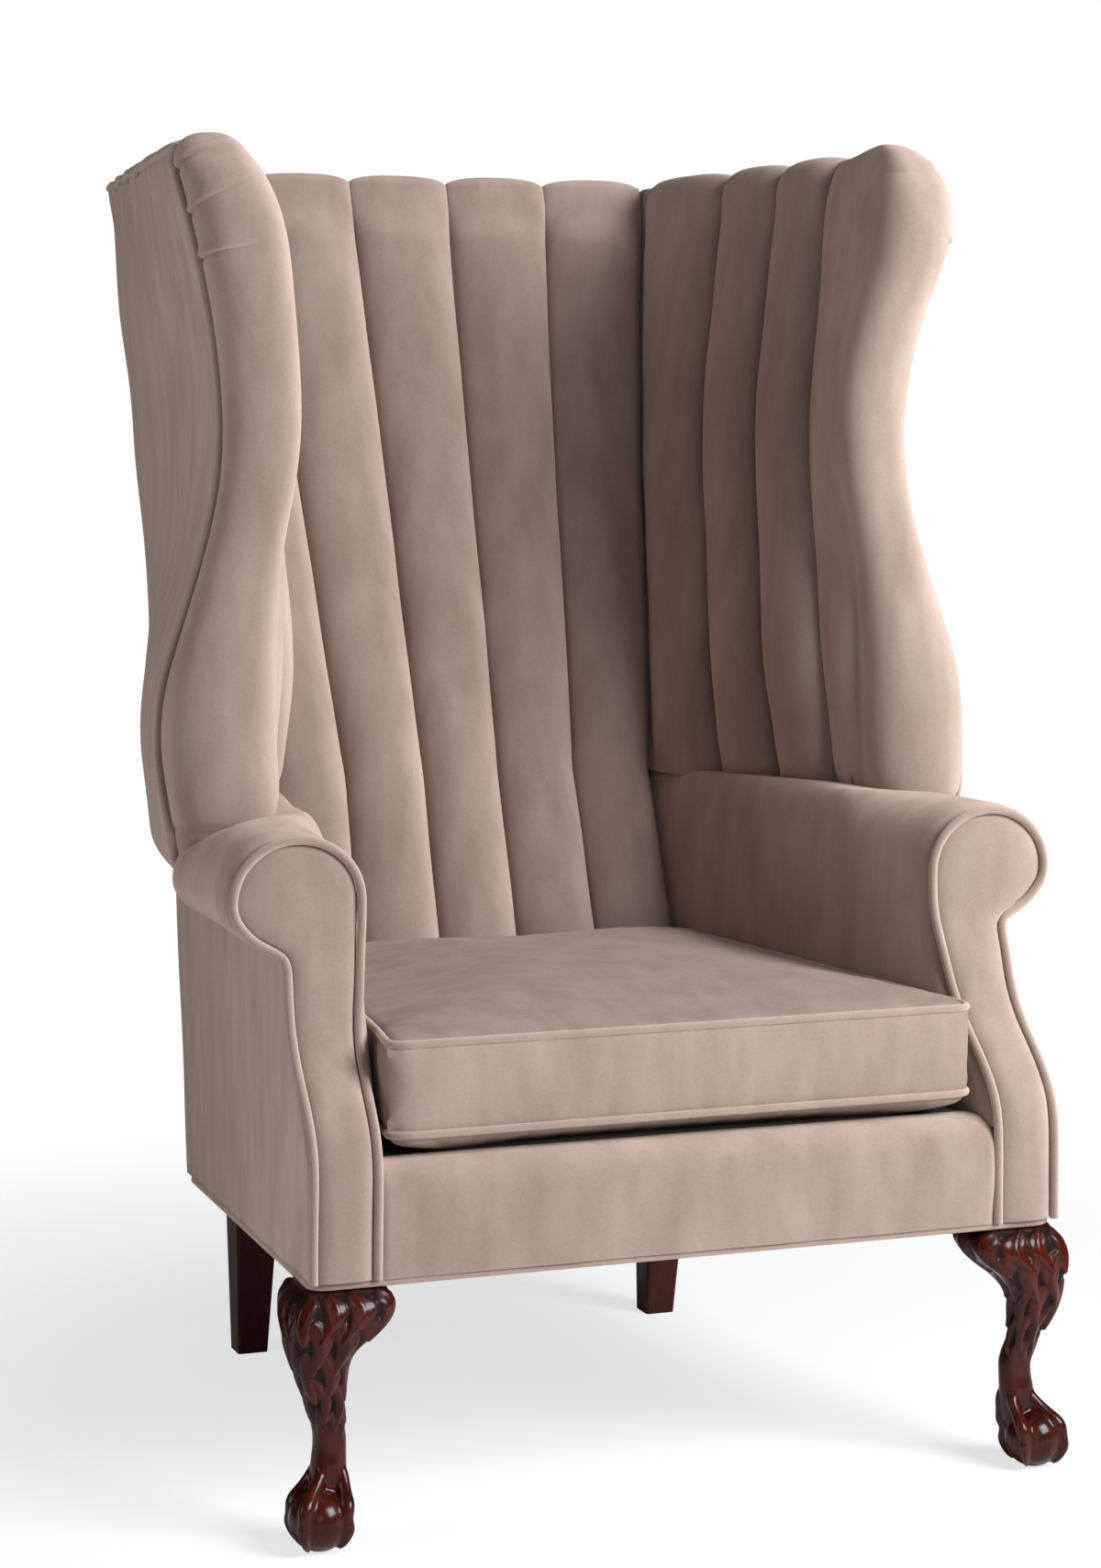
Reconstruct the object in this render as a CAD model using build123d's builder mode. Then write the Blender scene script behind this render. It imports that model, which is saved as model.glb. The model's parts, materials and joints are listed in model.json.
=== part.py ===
"""High back armchair: channelled back and wings, rolled arms, loose cushion, carved front legs."""
import os
from math import atan2, cos, degrees, hypot, radians, sin, tan

from build123d import *

os.makedirs("parts", exist_ok=True)

# Overall sizes in millimetres. The front faces -Y, +Z is up and x = 0 is the plane of symmetry.
half_front = 350.0
half_rear = 285.0
body_depth = 647.0
front_y = -425.94
base_front_z = 225.0
base_drop = 47.0
total_height = 1207.0

# Heights that follow from the sizes above.
base_rear_z = base_front_z - base_drop
deck_z = base_front_z + 80.0
cushion_box = 83.0
cushion_low_z = deck_z + 40.0
cushion_high_z = cushion_low_z + cushion_box
neck_z = cushion_high_z + 69.0
arm_axis_z = neck_z + 40.0
arm_top_z = neck_z + 99.0
wing_low_z = arm_top_z - 18.0
crown_rise = 31.0
wing_high_z = total_height - crown_rise

# Thicknesses and small sizes.
cover = 5.0
cord_r = 4.5
facing_pad = 14.0
arm_pad = 22.0
post_t = 28.0
web_t = 2.0
rail_t = 30.0
back_crown = 18.0
wing_crown = 13.0
slack = 0.3

# Slopes: body sides in plan, inside of the arms in plan, outside and inside of the back.
side_slope = (half_front - half_rear) / body_depth
arm_inset = 66.0
arm_taper = 0.02124
arm_slope = side_slope + arm_taper
outside_lean = 0.2154
back_low_t = 79.0
back_top_t = 47.13
inside_depth = body_depth - back_low_t
back_reach = body_depth + outside_lean * (wing_high_z - base_rear_z) - back_top_t - inside_depth
inside_lean = back_reach / (wing_high_z - cushion_high_z)
lean_angle = degrees(atan2(outside_lean, 1.0))


def at_depth(depth):
    """World y of a point a given distance behind the front face."""
    return front_y + depth


def base_z(depth):
    """Underside of the body at a depth."""
    return base_front_z - base_drop * depth / body_depth


def side_line(depth):
    """Outside of the body at a depth."""
    return half_front - side_slope * depth


def side_x(depth):
    """Inner face of the outside cover of an arm."""
    return side_line(depth) - cover


def arm_x(depth):
    """Inside face of an arm."""
    return half_front - arm_inset - arm_slope * depth


def outside_depth(z):
    """Depth of the outside back at a height."""
    return body_depth + outside_lean * (z - base_rear_z)


def inside_back_depth(z):
    """Depth of the seams of the inside back at a height."""
    return inside_depth + inside_lean * (z - cushion_high_z)


def between(table, column, f):
    """Value in one column of a table at a fraction f in its first column."""
    for low, high in zip(table, table[1:]):
        if f <= high[0]:
            break
    t = (f - low[0]) / (high[0] - low[0])
    return low[column] + t * (high[column] - low[column])


# Wing stations: fraction of the wing height, then x from the body's side line and depth of the corded edge, x of
# the roll's inside bulge, x and depth of the three seams from front to back, x of the corner seam, x of the post's
# outer face and x of the rear outside edge.
WING = (
    (0.00, 66.9, 288, -29.1, -25.5, 343, -39.3, 425, -54.3, 515, -80.0, 10.9, 6.7),
    (0.11, 74.2, 301, -26.8, -33.6, 342, -43.6, 432, -54.0, 528, -69.8, 11.2, 9.6),
    (0.23, 67.5, 304, -27.5, -43.8, 340, -49.8, 440, -52.4, 543, -59.4, 10.5, 12.6),
    (0.41, 32.7, 306, -36.3, -42.0, 358, -41.5, 463, -41.5, 572, -45.8, 8.7, 18.0),
    (0.60, 13.7, 306, -54.3, -37.9, 379, -33.0, 488, -30.5, 602, -30.1, 6.7, 24.4),
    (0.78, 26.4, 293, -46.6, -23.9, 389, -16.8, 500, -12.7, 620, -13.5, 14.4, 31.7),
    (0.92, 47.1, 280, -33.9, -14.2, 396, -4.0, 508, 1.5, 632, 1.3, 20.1, 38.6),
    (1.00, 58.7, 296, -25.3, -11.1, 397, -0.8, 510, 5.8, 635, 8.9, 25.7, 41.6),
)
wing_post_t = 24.0
wing_post_w = 45.0
wing_board_t = 8.0


def corner_x(z):
    """Half width of the inside back at a height."""
    if z <= wing_low_z:
        return arm_x(inside_back_depth(z)) - 3.2
    f = (z - wing_low_z) / (wing_high_z - wing_low_z)
    return side_line(inside_back_depth(z)) + between(WING, 10, min(f, 1.0)) - 3.2


class WingLevel:
    """Plan points of the right wing at one station."""

    def __init__(self, row):
        self.z = wing_low_z + row[0] * (wing_high_z - wing_low_z)
        seam_depth = inside_back_depth(self.z)
        self.cord = (side_line(row[2]) + row[1], row[2])
        self.bulge = side_line(row[2]) + row[3]
        self.s3 = (side_line(row[5]) + row[4], row[5])
        self.s2 = (side_line(row[7]) + row[6], row[7])
        self.s1 = (side_line(row[9]) + row[8], row[9])
        self.corner = (side_line(seam_depth) + row[10], seam_depth - 1.0)
        self.post_out = side_line(row[2]) + row[11]
        self.post_in = self.post_out - wing_post_t
        self.rear_depth = outside_depth(self.z)
        self.rear_x = side_line(self.rear_depth) + row[12]
        self.post_front = self.cord[1] - 25.0
        self.post_rear = self.post_front + wing_post_w

    def board(self, depth):
        """Inner face of the wing board at a depth."""
        rear = self.rear_depth - cover - post_t
        t = (depth - self.post_rear) / (rear - self.post_rear)
        return self.post_in + t * (self.corner[0] + 7.0 - self.post_in)

    def outside(self, depth):
        """Outer face of the outside wing at a depth."""
        t = (depth - self.cord[1]) / (self.rear_depth - self.cord[1])
        return self.cord[0] + t * (self.rear_x - self.cord[0])


LEVELS = [WingLevel(row) for row in WING]

# Shared planes: along the outside back (local z forward), along the base (local z up), along an arm's outside.
back_plane = Plane(
    origin=(0, at_depth(body_depth), base_rear_z),
    x_dir=(1, 0, 0),
    z_dir=(0, -cos(radians(lean_angle)), sin(radians(lean_angle))),
)
base_plane = Plane(origin=(0, front_y, base_front_z), x_dir=(1, 0, 0), z_dir=(0, base_drop, body_depth))
arm_plane = Plane(
    origin=(half_front, front_y, 0),
    x_dir=(half_rear - half_front, body_depth, 0),
    z_dir=(body_depth, half_front - half_rear, 0),
)


def write_piece(part, name):
    """Label one finished piece and write it."""
    part.label = name
    export_step(part, f"parts/{name}.step")


def write_pair(part, name):
    """Write the right piece and its mirror image on the left."""
    write_piece(part, name + "_right")
    with BuildPart() as twin:
        mirror(part, about=Plane.YZ)
    write_piece(twin.part, name + "_left")


def plan_face(points, z):
    """Flat face at a height from (x, depth) points; a point with three numbers ends an arc of that rise."""
    with BuildSketch(Plane.XY.offset(z)) as face:
        with BuildLine():
            start = points[0]
            for point in points[1:] + [points[0]]:
                a = (start[0], at_depth(start[1]))
                b = (point[0], at_depth(point[1]))
                if len(point) == 3:
                    length = hypot(b[0] - a[0], b[1] - a[1])
                    mid_x = (a[0] + b[0]) / 2 + point[2] * (b[1] - a[1]) / length
                    mid_y = (a[1] + b[1]) / 2 - point[2] * (b[0] - a[0]) / length
                    ThreePointArc(a, (mid_x, mid_y), b)
                else:
                    Line(a, b)
                start = point
        make_face()
    return face.sketch


def half_space(plane, size=3000.0):
    """Large block on the positive side of a plane."""
    with BuildPart() as block:
        with Locations(plane):
            Box(size, size, size, align=(Align.CENTER, Align.CENTER, Align.MIN))
    return block.part


def rod(start, end, radius):
    """Round rod between two points."""
    run = (end[0] - start[0], end[1] - start[1], end[2] - start[2])
    length = hypot(*run)
    with BuildPart() as bar:
        with Locations(Plane(origin=start, z_dir=run)):
            Cylinder(radius, length, align=(Align.CENTER, Align.CENTER, Align.MIN))
    return bar.part


def flip(plane):
    """The same plane facing the other way."""
    return Plane(origin=plane.origin, x_dir=plane.x_dir, z_dir=plane.z_dir * -1)


behind_posts = half_space(flip(back_plane.offset(cover + post_t + slack)))
behind_cover = half_space(flip(back_plane.offset(cover + slack)))
seam_point = (0, at_depth(inside_depth), cushion_high_z)
inside_plane = Plane(origin=seam_point, x_dir=(1, 0, 0), z_dir=(0, 1, -inside_lean))
behind_seams = half_space(inside_plane.offset(-1.0))

# Front profile of the arms in side view: upright low down, swept back to the scroll.
sweep_points = (
    (-4.0, 0.0),
    (-4.0, cushion_low_z),
    (70.0, cushion_low_z + 75.0),
    (95.0, neck_z + 3.0),
    (94.0, total_height),
)


def profile_depth(z):
    """Depth of the front of an arm at a height, before its corners are eased."""
    for low, high in zip(sweep_points, sweep_points[1:]):
        if z <= high[1]:
            break
    return low[0] + (high[0] - low[0]) * (z - low[1]) / (high[1] - low[1])


def profile_block(offset, near):
    """Solid filling side view from the arm profile moved back by offset, to a plane at depth near."""
    with BuildPart() as block:
        with BuildSketch(Plane.YZ):
            with BuildLine():
                run = [(at_depth(d + offset), z) for d, z in sweep_points]
                FilletPolyline(*run, radius=80.0)
                Polyline(run[-1], (at_depth(near), total_height), (at_depth(near), 0.0), run[0])
            make_face()
        extrude(amount=half_front + 200.0)
    return block.part


before_arms = profile_block(facing_pad + slack, -300.0)


def arm_face(depth):
    """Cross section of a rolled arm's pad, open over the frame inside it."""
    inner = arm_x(depth)
    outer = half_front + 39.0
    core_in = inner + arm_pad
    core_out = side_x(depth)
    board_z = arm_axis_z - 2.0
    middle = (inner + outer) / 2
    span = (outer - inner) / 2
    rise = arm_top_z - arm_axis_z
    with BuildSketch(Plane(origin=(0, at_depth(depth), 0), x_dir=(1, 0, 0), z_dir=(0, -1, 0))) as face:
        with BuildLine():
            Line((inner, deck_z + slack), (inner, arm_axis_z))
            ThreePointArc(
                (inner, arm_axis_z),
                (middle - 0.72 * span, arm_axis_z + 0.7 * rise),
                (middle, arm_top_z),
            )
            ThreePointArc(
                (middle, arm_top_z),
                (middle + 0.72 * span, arm_axis_z + 0.7 * rise),
                (outer, arm_axis_z),
            )
            ThreePointArc(
                (outer, arm_axis_z),
                ((outer + core_out) / 2 + 10.0, neck_z + 6.0),
                (core_out + cover, neck_z),
            )
            Polyline(
                (core_out + cover, neck_z),
                (core_out, neck_z),
                (core_out, board_z - 20.0),
                (half_front + 10.5, board_z - 20.0),
                (half_front + 10.5, board_z),
                (core_in, board_z),
                (core_in, deck_z + slack),
                (inner, deck_z + slack),
            )
        make_face()
    return face.sketch


def arm_rear_face(depth):
    """Cross section of the arm pad under the wing."""
    inner = arm_x(depth)
    core_in = inner + arm_pad
    outer = board_edge(depth)
    board_z = arm_axis_z - 2.0
    with BuildSketch(Plane(origin=(0, at_depth(depth), 0), x_dir=(1, 0, 0), z_dir=(0, -1, 0))) as face:
        with BuildLine():
            Line((inner, deck_z + slack), (inner, arm_axis_z))
            ThreePointArc((inner, arm_axis_z), (inner + 13.0, wing_low_z - 13.0), (inner + 38.0, wing_low_z))
            Polyline(
                (inner + 38.0, wing_low_z),
                (outer, wing_low_z),
                (outer, board_z),
                (core_in, board_z),
                (core_in, deck_z + slack),
                (inner, deck_z + slack),
            )
        make_face()
    return face.sketch


def board_edge(depth):
    """Outer edge of the arm board in plan."""
    return side_line(depth) + 22.13 - 0.0695 * (depth - 280.0)


# Rolled arm pads.
foot = LEVELS[0]
scroll_rear = 288.0
front_sections = [arm_face(-20.0), arm_face(scroll_rear)]
under_sections = [arm_rear_face(scroll_rear), arm_rear_face(body_depth)]
with BuildPart() as inside_arm:
    loft(front_sections, ruled=True)
    with Locations((half_front, at_depth(scroll_rear), wing_low_z)):
        Box(
            400,
            2 * (scroll_rear - 238.0),
            200,
            align=(Align.CENTER, Align.CENTER, Align.MIN),
            mode=Mode.SUBTRACT,
        )
    loft(under_sections, ruled=True)
    add(before_arms, mode=Mode.SUBTRACT)
    add(behind_seams, mode=Mode.SUBTRACT)
    with Locations((foot.post_in - slack, at_depth(foot.post_front - slack), arm_axis_z - 2.0)):
        Box(
            wing_post_t + 2 * slack,
            wing_post_w + 2 * slack,
            200,
            align=(Align.MIN, Align.MIN, Align.MIN),
            mode=Mode.SUBTRACT,
        )
write_pair(inside_arm.part, "inside_arm")

# Arm boards and front arm posts.
with BuildPart() as arm_board:
    with BuildSketch(Plane.XY.offset(arm_axis_z - 22.0 + slack)):
        with BuildLine():
            Polyline(
                (arm_x(120.0) + arm_pad + slack, at_depth(120.0)),
                (half_front + 10.2, at_depth(120.0)),
                (board_edge(280.0) - slack, at_depth(280.0)),
                (board_edge(760.0) - slack, at_depth(760.0)),
                (arm_x(760.0) + arm_pad + slack, at_depth(760.0)),
                close=True,
            )
        make_face()
    extrude(amount=20.0 - 2 * slack)
    add(behind_posts, mode=Mode.SUBTRACT)
write_pair(arm_board.part, "arm_board")

with BuildPart() as arm_post:
    with BuildSketch(arm_plane.offset(-cover - slack)):
        with BuildLine():
            Polyline(
                (-30.0, deck_z + slack),
                (150.0, deck_z + slack),
                (150.0, arm_axis_z - 22.0),
                (-30.0, arm_axis_z - 22.0),
                close=True,
            )
        make_face()
    extrude(amount=-38.0)
    add(before_arms, mode=Mode.SUBTRACT)
write_pair(arm_post.part, "arm_post")

# Facing pads on the arm fronts, with their cord.
low_in = arm_x(0.0) + 2 * cord_r
top_in = arm_x(95.0) + 2 * cord_r
low_out = half_front - 2 * cord_r
top_out = half_front - side_slope * 95.0 - 2 * cord_r
head_out = half_front + 39.0 - 2 * cord_r
head_mid = (top_in + head_out) / 2
head_top = arm_top_z - 2 * cord_r
facing_low = base_front_z + 2 * cord_r + slack
facing_band = profile_block(0.0, 200.0)
facing_rear = profile_block(facing_pad, 200.0)
with BuildPart() as arm_facing:
    with BuildSketch(Plane(origin=(0, at_depth(150.0), 0), x_dir=(1, 0, 0), z_dir=(0, -1, 0))):
        with BuildLine():
            Polyline((low_in, facing_low), (low_in, cushion_low_z), (top_in, neck_z), (top_in, arm_axis_z))
            ThreePointArc(
                (top_in, arm_axis_z),
                (head_mid - 0.71 * (head_mid - top_in), arm_axis_z + 0.7 * (head_top - arm_axis_z)),
                (head_mid, head_top),
            )
            ThreePointArc(
                (head_mid, head_top),
                (head_mid + 0.71 * (head_mid - top_in), arm_axis_z + 0.7 * (head_top - arm_axis_z)),
                (head_out, arm_axis_z),
            )
            ThreePointArc(
                (head_out, arm_axis_z),
                ((head_out + top_out) / 2 + 10.0, neck_z + 12.0),
                (top_out, neck_z + 6.0),
            )
            Polyline(
                (top_out, neck_z + 6.0),
                (low_out, cushion_low_z),
                (low_out, facing_low),
                (low_in, facing_low),
            )
        make_face()
    extrude(amount=200.0)
    add(facing_band, mode=Mode.INTERSECT)
    add(facing_rear, mode=Mode.SUBTRACT)
write_pair(arm_facing.part, "arm_facing")


def facing_point(x, z):
    """Point of the facing cord's centre line."""
    return (x, at_depth(profile_depth(z) + 5.0), z)


off = cord_r + 0.6
inner_run = [
    facing_point(low_in - off, facing_low),
    facing_point(low_in - off, cushion_low_z),
    facing_point(low_in - off - 6.0, cushion_low_z + 75.0),
    facing_point(top_in - off, neck_z),
    facing_point(top_in - off, arm_axis_z),
]
outer_run = [
    facing_point(top_out + off, neck_z + 0.5),
    facing_point(top_out + off + 5.0, cushion_low_z + 75.0),
    facing_point(low_out + off, cushion_low_z),
    facing_point(low_out + off, facing_low),
]
scroll_y = inner_run[-1][1]
with BuildPart() as facing_cord:
    with BuildLine() as inner_path:
        FilletPolyline(*inner_run, radius=60.0)
        ThreePointArc(
            inner_run[-1],
            (
                head_mid - 0.71 * (head_mid - top_in + off),
                scroll_y,
                arm_axis_z + 0.7 * (head_top + off - arm_axis_z),
            ),
            (head_mid, scroll_y, head_top + off),
        )
        ThreePointArc(
            (head_mid, scroll_y, head_top + off),
            (
                head_mid + 0.71 * (head_out + off - head_mid),
                scroll_y,
                arm_axis_z + 0.7 * (head_top + off - arm_axis_z),
            ),
            (head_out + off, scroll_y, arm_axis_z),
        )
        ThreePointArc(
            (head_out + off, scroll_y, arm_axis_z),
            ((head_out + top_out) / 2 + 12.0, scroll_y, neck_z + 5.5),
            outer_run[0],
        )
    with BuildSketch(Plane(origin=inner_path.line @ 0, z_dir=inner_path.line % 0)):
        Circle(cord_r)
    sweep(path=inner_path.line)
    with BuildLine() as outer_path:
        FilletPolyline(*outer_run, radius=60.0)
    with BuildSketch(Plane(origin=outer_path.line @ 0, z_dir=outer_path.line % 0)):
        Circle(cord_r)
    sweep(path=outer_path.line)
write_pair(facing_cord.part, "facing_cord")

# Outside covers of the arms and of the back.
with BuildPart() as outside_arm:
    with BuildSketch(arm_plane):
        with BuildLine():
            Polyline(
                (-40.0, base_z(-40.0) + 2 * cord_r + slack),
                (900.0, base_z(900.0) + 2 * cord_r + slack),
                (900.0, neck_z - slack),
                (-40.0, neck_z - slack),
                close=True,
            )
        make_face()
    extrude(amount=-cover)
    add(before_arms, mode=Mode.SUBTRACT)
    add(behind_cover, mode=Mode.SUBTRACT)
write_pair(outside_arm.part, "outside_arm")

back_top_v = (wing_high_z - base_rear_z) / cos(radians(lean_angle)) - 8.0
top_half = LEVELS[-1].rear_x
with BuildPart() as outside_back:
    with BuildSketch(back_plane):
        with BuildLine():
            Polyline(
                (-half_rear, 2 * cord_r + slack),
                (half_rear, 2 * cord_r + slack),
                (half_rear + 2.0, 0.32 * back_top_v),
                (top_half, back_top_v - slack),
                (-top_half, back_top_v - slack),
                (-half_rear - 2.0, 0.32 * back_top_v),
                close=True,
            )
        make_face()
    extrude(amount=cover)
write_piece(outside_back.part, "outside_back")

# Back frame: posts, top rail, lower rail and rear seat rail, in the plane of the back.
post_low = 16.0
post_w = 44.0
post_knee = (neck_z - base_rear_z) / cos(radians(lean_angle))
post_top_out = top_half - cover - 6.0
post_low_out = side_x(outside_depth(neck_z)) - 1.0
with BuildPart() as back_post:
    with BuildSketch(back_plane.offset(cover)):
        with BuildLine():
            Polyline(
                (post_low_out - post_w, post_low),
                (post_low_out, post_low),
                (post_low_out, post_knee),
                (post_top_out, back_top_v - 1.0),
                (post_top_out - post_w, back_top_v - 1.0),
                (post_low_out - post_w, post_knee),
                close=True,
            )
        make_face()
    extrude(amount=post_t)


def post_inner(v):
    """Inner edge of a back post at a distance up the back."""
    t = max(0.0, (v - post_knee) / (back_top_v - 1.0 - post_knee))
    return post_low_out - post_w + t * (post_top_out - post_low_out)


def back_rail(low, high, name):
    """Rail between the back posts."""
    with BuildPart() as rail:
        with BuildSketch(back_plane.offset(cover)):
            with BuildLine():
                Polyline(
                    (-post_inner(low), low),
                    (post_inner(low), low),
                    (post_inner(high), high),
                    (-post_inner(high), high),
                    close=True,
                )
            make_face()
        extrude(amount=post_t)
    write_piece(rail.part, name)


back_rail(back_top_v - 56.0, back_top_v - 1.0, "top_rail")
lower_v = (cushion_high_z - base_rear_z) * 0.92
back_rail(lower_v, lower_v + 50.0, "lower_back_rail")
rear_rail_v = (deck_z - base_rear_z - (cover + post_t) * sin(radians(lean_angle))) / cos(radians(lean_angle))
back_rail(post_low, rear_rail_v, "rear_seat_rail")

# Webbing of the back: level straps first, upright straps over them.
level_w = cover + post_t
strap = 50.0
with BuildPart() as back_webbing:
    first_v = post_knee + 150.0
    for i in range(3):
        v = first_v + i * (back_top_v - first_v - 110.0) / 2
        with Locations(back_plane.offset(level_w) * Location((0, v, 0))):
            Box(2 * post_inner(v) + post_w, strap, web_t, align=(Align.CENTER, Align.CENTER, Align.MIN))
    for x in (-110.0, 0.0, 110.0):
        middle = (lower_v + back_top_v) / 2
        with Locations(back_plane.offset(level_w + web_t) * Location((x, middle, 0))):
            Box(strap, back_top_v - lower_v - 30.0, web_t, align=(Align.CENTER, Align.CENTER, Align.MIN))
write_piece(back_webbing.part, "back_webbing")

# Channelled inside back: five flutes between straight seams, rolled over the top rail.
pad_w = level_w + 2 * web_t + slack


def seam_height(v):
    """Height of the seams above the outside back plane at a distance up it."""
    lean = radians(lean_angle)
    point_y = inside_depth - body_depth
    point_z = cushion_high_z - base_rear_z
    v0 = point_y * sin(lean) + point_z * cos(lean)
    w0 = -point_y * cos(lean) + point_z * sin(lean)
    dv = inside_lean * sin(lean) + cos(lean)
    dw = -inside_lean * cos(lean) + sin(lean)
    return w0 + (v - v0) * dw / dv


def flute_face(v):
    """Section of the inside back across its flutes."""
    lean = radians(lean_angle)
    w = seam_height(v)
    half = corner_x(base_rear_z + v * cos(lean) + w * sin(lean))
    stops = [half * k for k in (1.0, 0.598, 0.196, -0.196, -0.598, -1.0)]
    plane = Plane(
        origin=back_plane.from_local_coords(Vector(0, v, 0)),
        x_dir=(1, 0, 0),
        z_dir=back_plane.y_dir * -1,
    )
    with BuildSketch(plane) as face:
        with BuildLine():
            Polyline((-half, w), (-half, pad_w), (half, pad_w), (half, w))
            for a, b in zip(stops, stops[1:]):
                ThreePointArc((a, w), ((a + b) / 2, w + back_crown), (b, w))
        make_face()
    return face.sketch


flute_low = (deck_z + 14.0 - base_rear_z) / cos(radians(lean_angle))
flute_levels = [flute_low] + [flute_low + k * (back_top_v - flute_low) for k in (0.22, 0.44, 0.7, 0.86, 1.0)]
flute_faces = [flute_face(v) for v in flute_levels]
turn_axis = Axis(back_plane.from_local_coords(Vector(0, back_top_v, pad_w)), (1, 0, 0))
turned = flute_faces[-1].rotate(turn_axis, -90.0)
with BuildPart() as inside_back:
    loft(flute_faces)
    revolve(flute_faces[-1], axis=turn_axis, revolution_arc=-90.0)
    extrude(turned, amount=pad_w, dir=back_plane.z_dir * -1)
write_piece(inside_back.part, "inside_back")


def flute_outline(level, ease):
    """Front seam to corner of the inside wing, eased outward by a share of its thickness."""
    points = []
    for x, depth in (level.s3, level.s2, level.s1, level.corner):
        points.append((x + ease * (level.board(depth) - x), depth))
    points[0] = (points[0][0], points[0][1] + slack)
    rise = -wing_crown * (1.0 - ease)
    return [points[0]] + [(x, depth, rise) for x, depth in points[1:]]


def wing_face(level):
    """Plan section of the channelled inside wing."""
    rear = (level.board(level.corner[1]) - 0.6, level.corner[1])
    front = (level.board(level.s3[1]) - 0.6, level.s3[1] + slack)
    return plan_face(flute_outline(level, 0.0) + [rear, front], level.z + slack)


def wing_cap_face(level, ease, z):
    """Plan section of the wing's top, over the board and the outside cover."""
    rear = level.rear_depth - 8.0 * ease
    front = level.s3[1] + slack
    line = flute_outline(level, ease)
    corner = line[-1]
    outline = line + [
        (corner[0], rear),
        (level.rear_x - 10.0 * ease, rear),
        (level.outside(front) - 10.0 * ease, front),
    ]
    return plan_face(outline, z)


top = LEVELS[-1]
wing_faces = [wing_face(level) for level in LEVELS]
cap_z = top.z + slack
cap_faces = [
    wing_cap_face(top, 0.0, cap_z),
    wing_cap_face(top, 0.25, cap_z + 0.6 * crown_rise),
    wing_cap_face(top, 0.8, cap_z + 0.95 * crown_rise),
]
with BuildPart() as inside_wing:
    loft(wing_faces)
    loft(cap_faces)
write_pair(inside_wing.part, "inside_wing")


def roll_outline(level):
    """Front of the wing roll in plan, from its corded edge round the nose to the first seam."""
    edge = (level.cord[0] + cord_r, level.cord[1] - cord_r - slack)
    inner = (level.bulge, edge[1] - 4.0)
    nose = 0.42 * (edge[0] - inner[0])
    seam = (level.s3[0], level.s3[1] - slack, -7.0)
    return [edge, (inner[0], inner[1], -nose), seam]


def roll_face(level):
    """Plan section of the wing roll, open over the wing post and board."""
    gap = 0.8
    rear = [
        (level.board(level.s3[1]) - gap, level.s3[1] - slack),
        (level.post_in - gap, level.post_rear),
        (level.post_in - gap, level.post_front - gap),
        (level.post_out + gap, level.post_front - gap),
        (level.post_out + gap, level.cord[1] - cord_r - slack),
    ]
    return plan_face(roll_outline(level) + rear, level.z + slack)


def dome_face(level, scale, z):
    """Plan section of the roll's domed top, drawn in toward its middle."""
    line = roll_outline(level)
    outline = line + [(line[0][0] - cord_r, line[2][1])]
    middle_x = (line[0][0] + line[1][0]) / 2
    middle_d = (line[0][1] + line[2][1]) / 2
    drawn = []
    for point in outline:
        eased = [middle_x + scale * (point[0] - middle_x), middle_d + scale * (point[1] - middle_d)]
        drawn.append(tuple(eased + [scale * rise for rise in point[2:]]))
    return plan_face(drawn, z)


roll_faces = [roll_face(level) for level in LEVELS]
dome_faces = [
    dome_face(top, 1.0, cap_z),
    dome_face(top, 0.93, cap_z + 0.5 * crown_rise),
    dome_face(top, 0.72, cap_z + 0.86 * crown_rise),
    dome_face(top, 0.45, cap_z + 0.98 * crown_rise),
]
with BuildPart() as wing_roll:
    loft(roll_faces)
    loft(dome_faces)
write_pair(wing_roll.part, "wing_roll")

# Wing frame: a shaped post on the arm board and a thin board behind the flutes.
post_faces = []
board_faces = []
for level in LEVELS:
    post_faces.append(
        plan_face(
            [
                (level.post_in, level.post_front),
                (level.post_out, level.post_front),
                (level.post_out, level.post_rear),
                (level.post_in, level.post_rear),
            ],
            level.z,
        )
    )
    board_rear = level.rear_depth - cover - post_t - 6.0
    board_front = level.post_rear + slack
    board_faces.append(
        plan_face(
            [
                (level.board(board_front), board_front),
                (level.board(board_front) + wing_board_t, board_front),
                (level.board(board_rear) + wing_board_t, board_rear),
                (level.board(board_rear), board_rear),
            ],
            level.z + slack,
        )
    )
with BuildPart() as wing_post:
    loft(post_faces)
    extrude(post_faces[0], amount=-(wing_low_z - arm_axis_z + 2.0 - slack))
write_pair(wing_post.part, "wing_post")
with BuildPart() as wing_board:
    loft(board_faces)
    add(behind_posts, mode=Mode.SUBTRACT)
write_pair(wing_board.part, "wing_board")

# Outside wings, from the arm's neck up to the caps.
skirt = (
    (neck_z + slack, 10.7, 325.0, 1.9),
    ((neck_z + wing_low_z) / 2, 52.7, 306.0, 4.8),
)


def outside_face(x, depth, rear_x, z):
    """Plan section of the outside wing's cover."""
    rear = outside_depth(z)
    front = depth + cord_r + slack
    return plan_face([(x, front), (rear_x, rear), (rear_x - cover, rear), (x - cover, front)], z)


outside_faces = []
for z, dx, depth, rear_dx in skirt:
    rear_edge = side_line(outside_depth(z)) + rear_dx
    outside_faces.append(outside_face(side_line(depth) + dx, depth, rear_edge, z))
for level in LEVELS:
    outside_faces.append(outside_face(level.cord[0], level.cord[1], level.rear_x, level.z))
with BuildPart() as outside_wing:
    loft(outside_faces)
    add(behind_cover, mode=Mode.SUBTRACT)
write_pair(outside_wing.part, "outside_wing")

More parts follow.
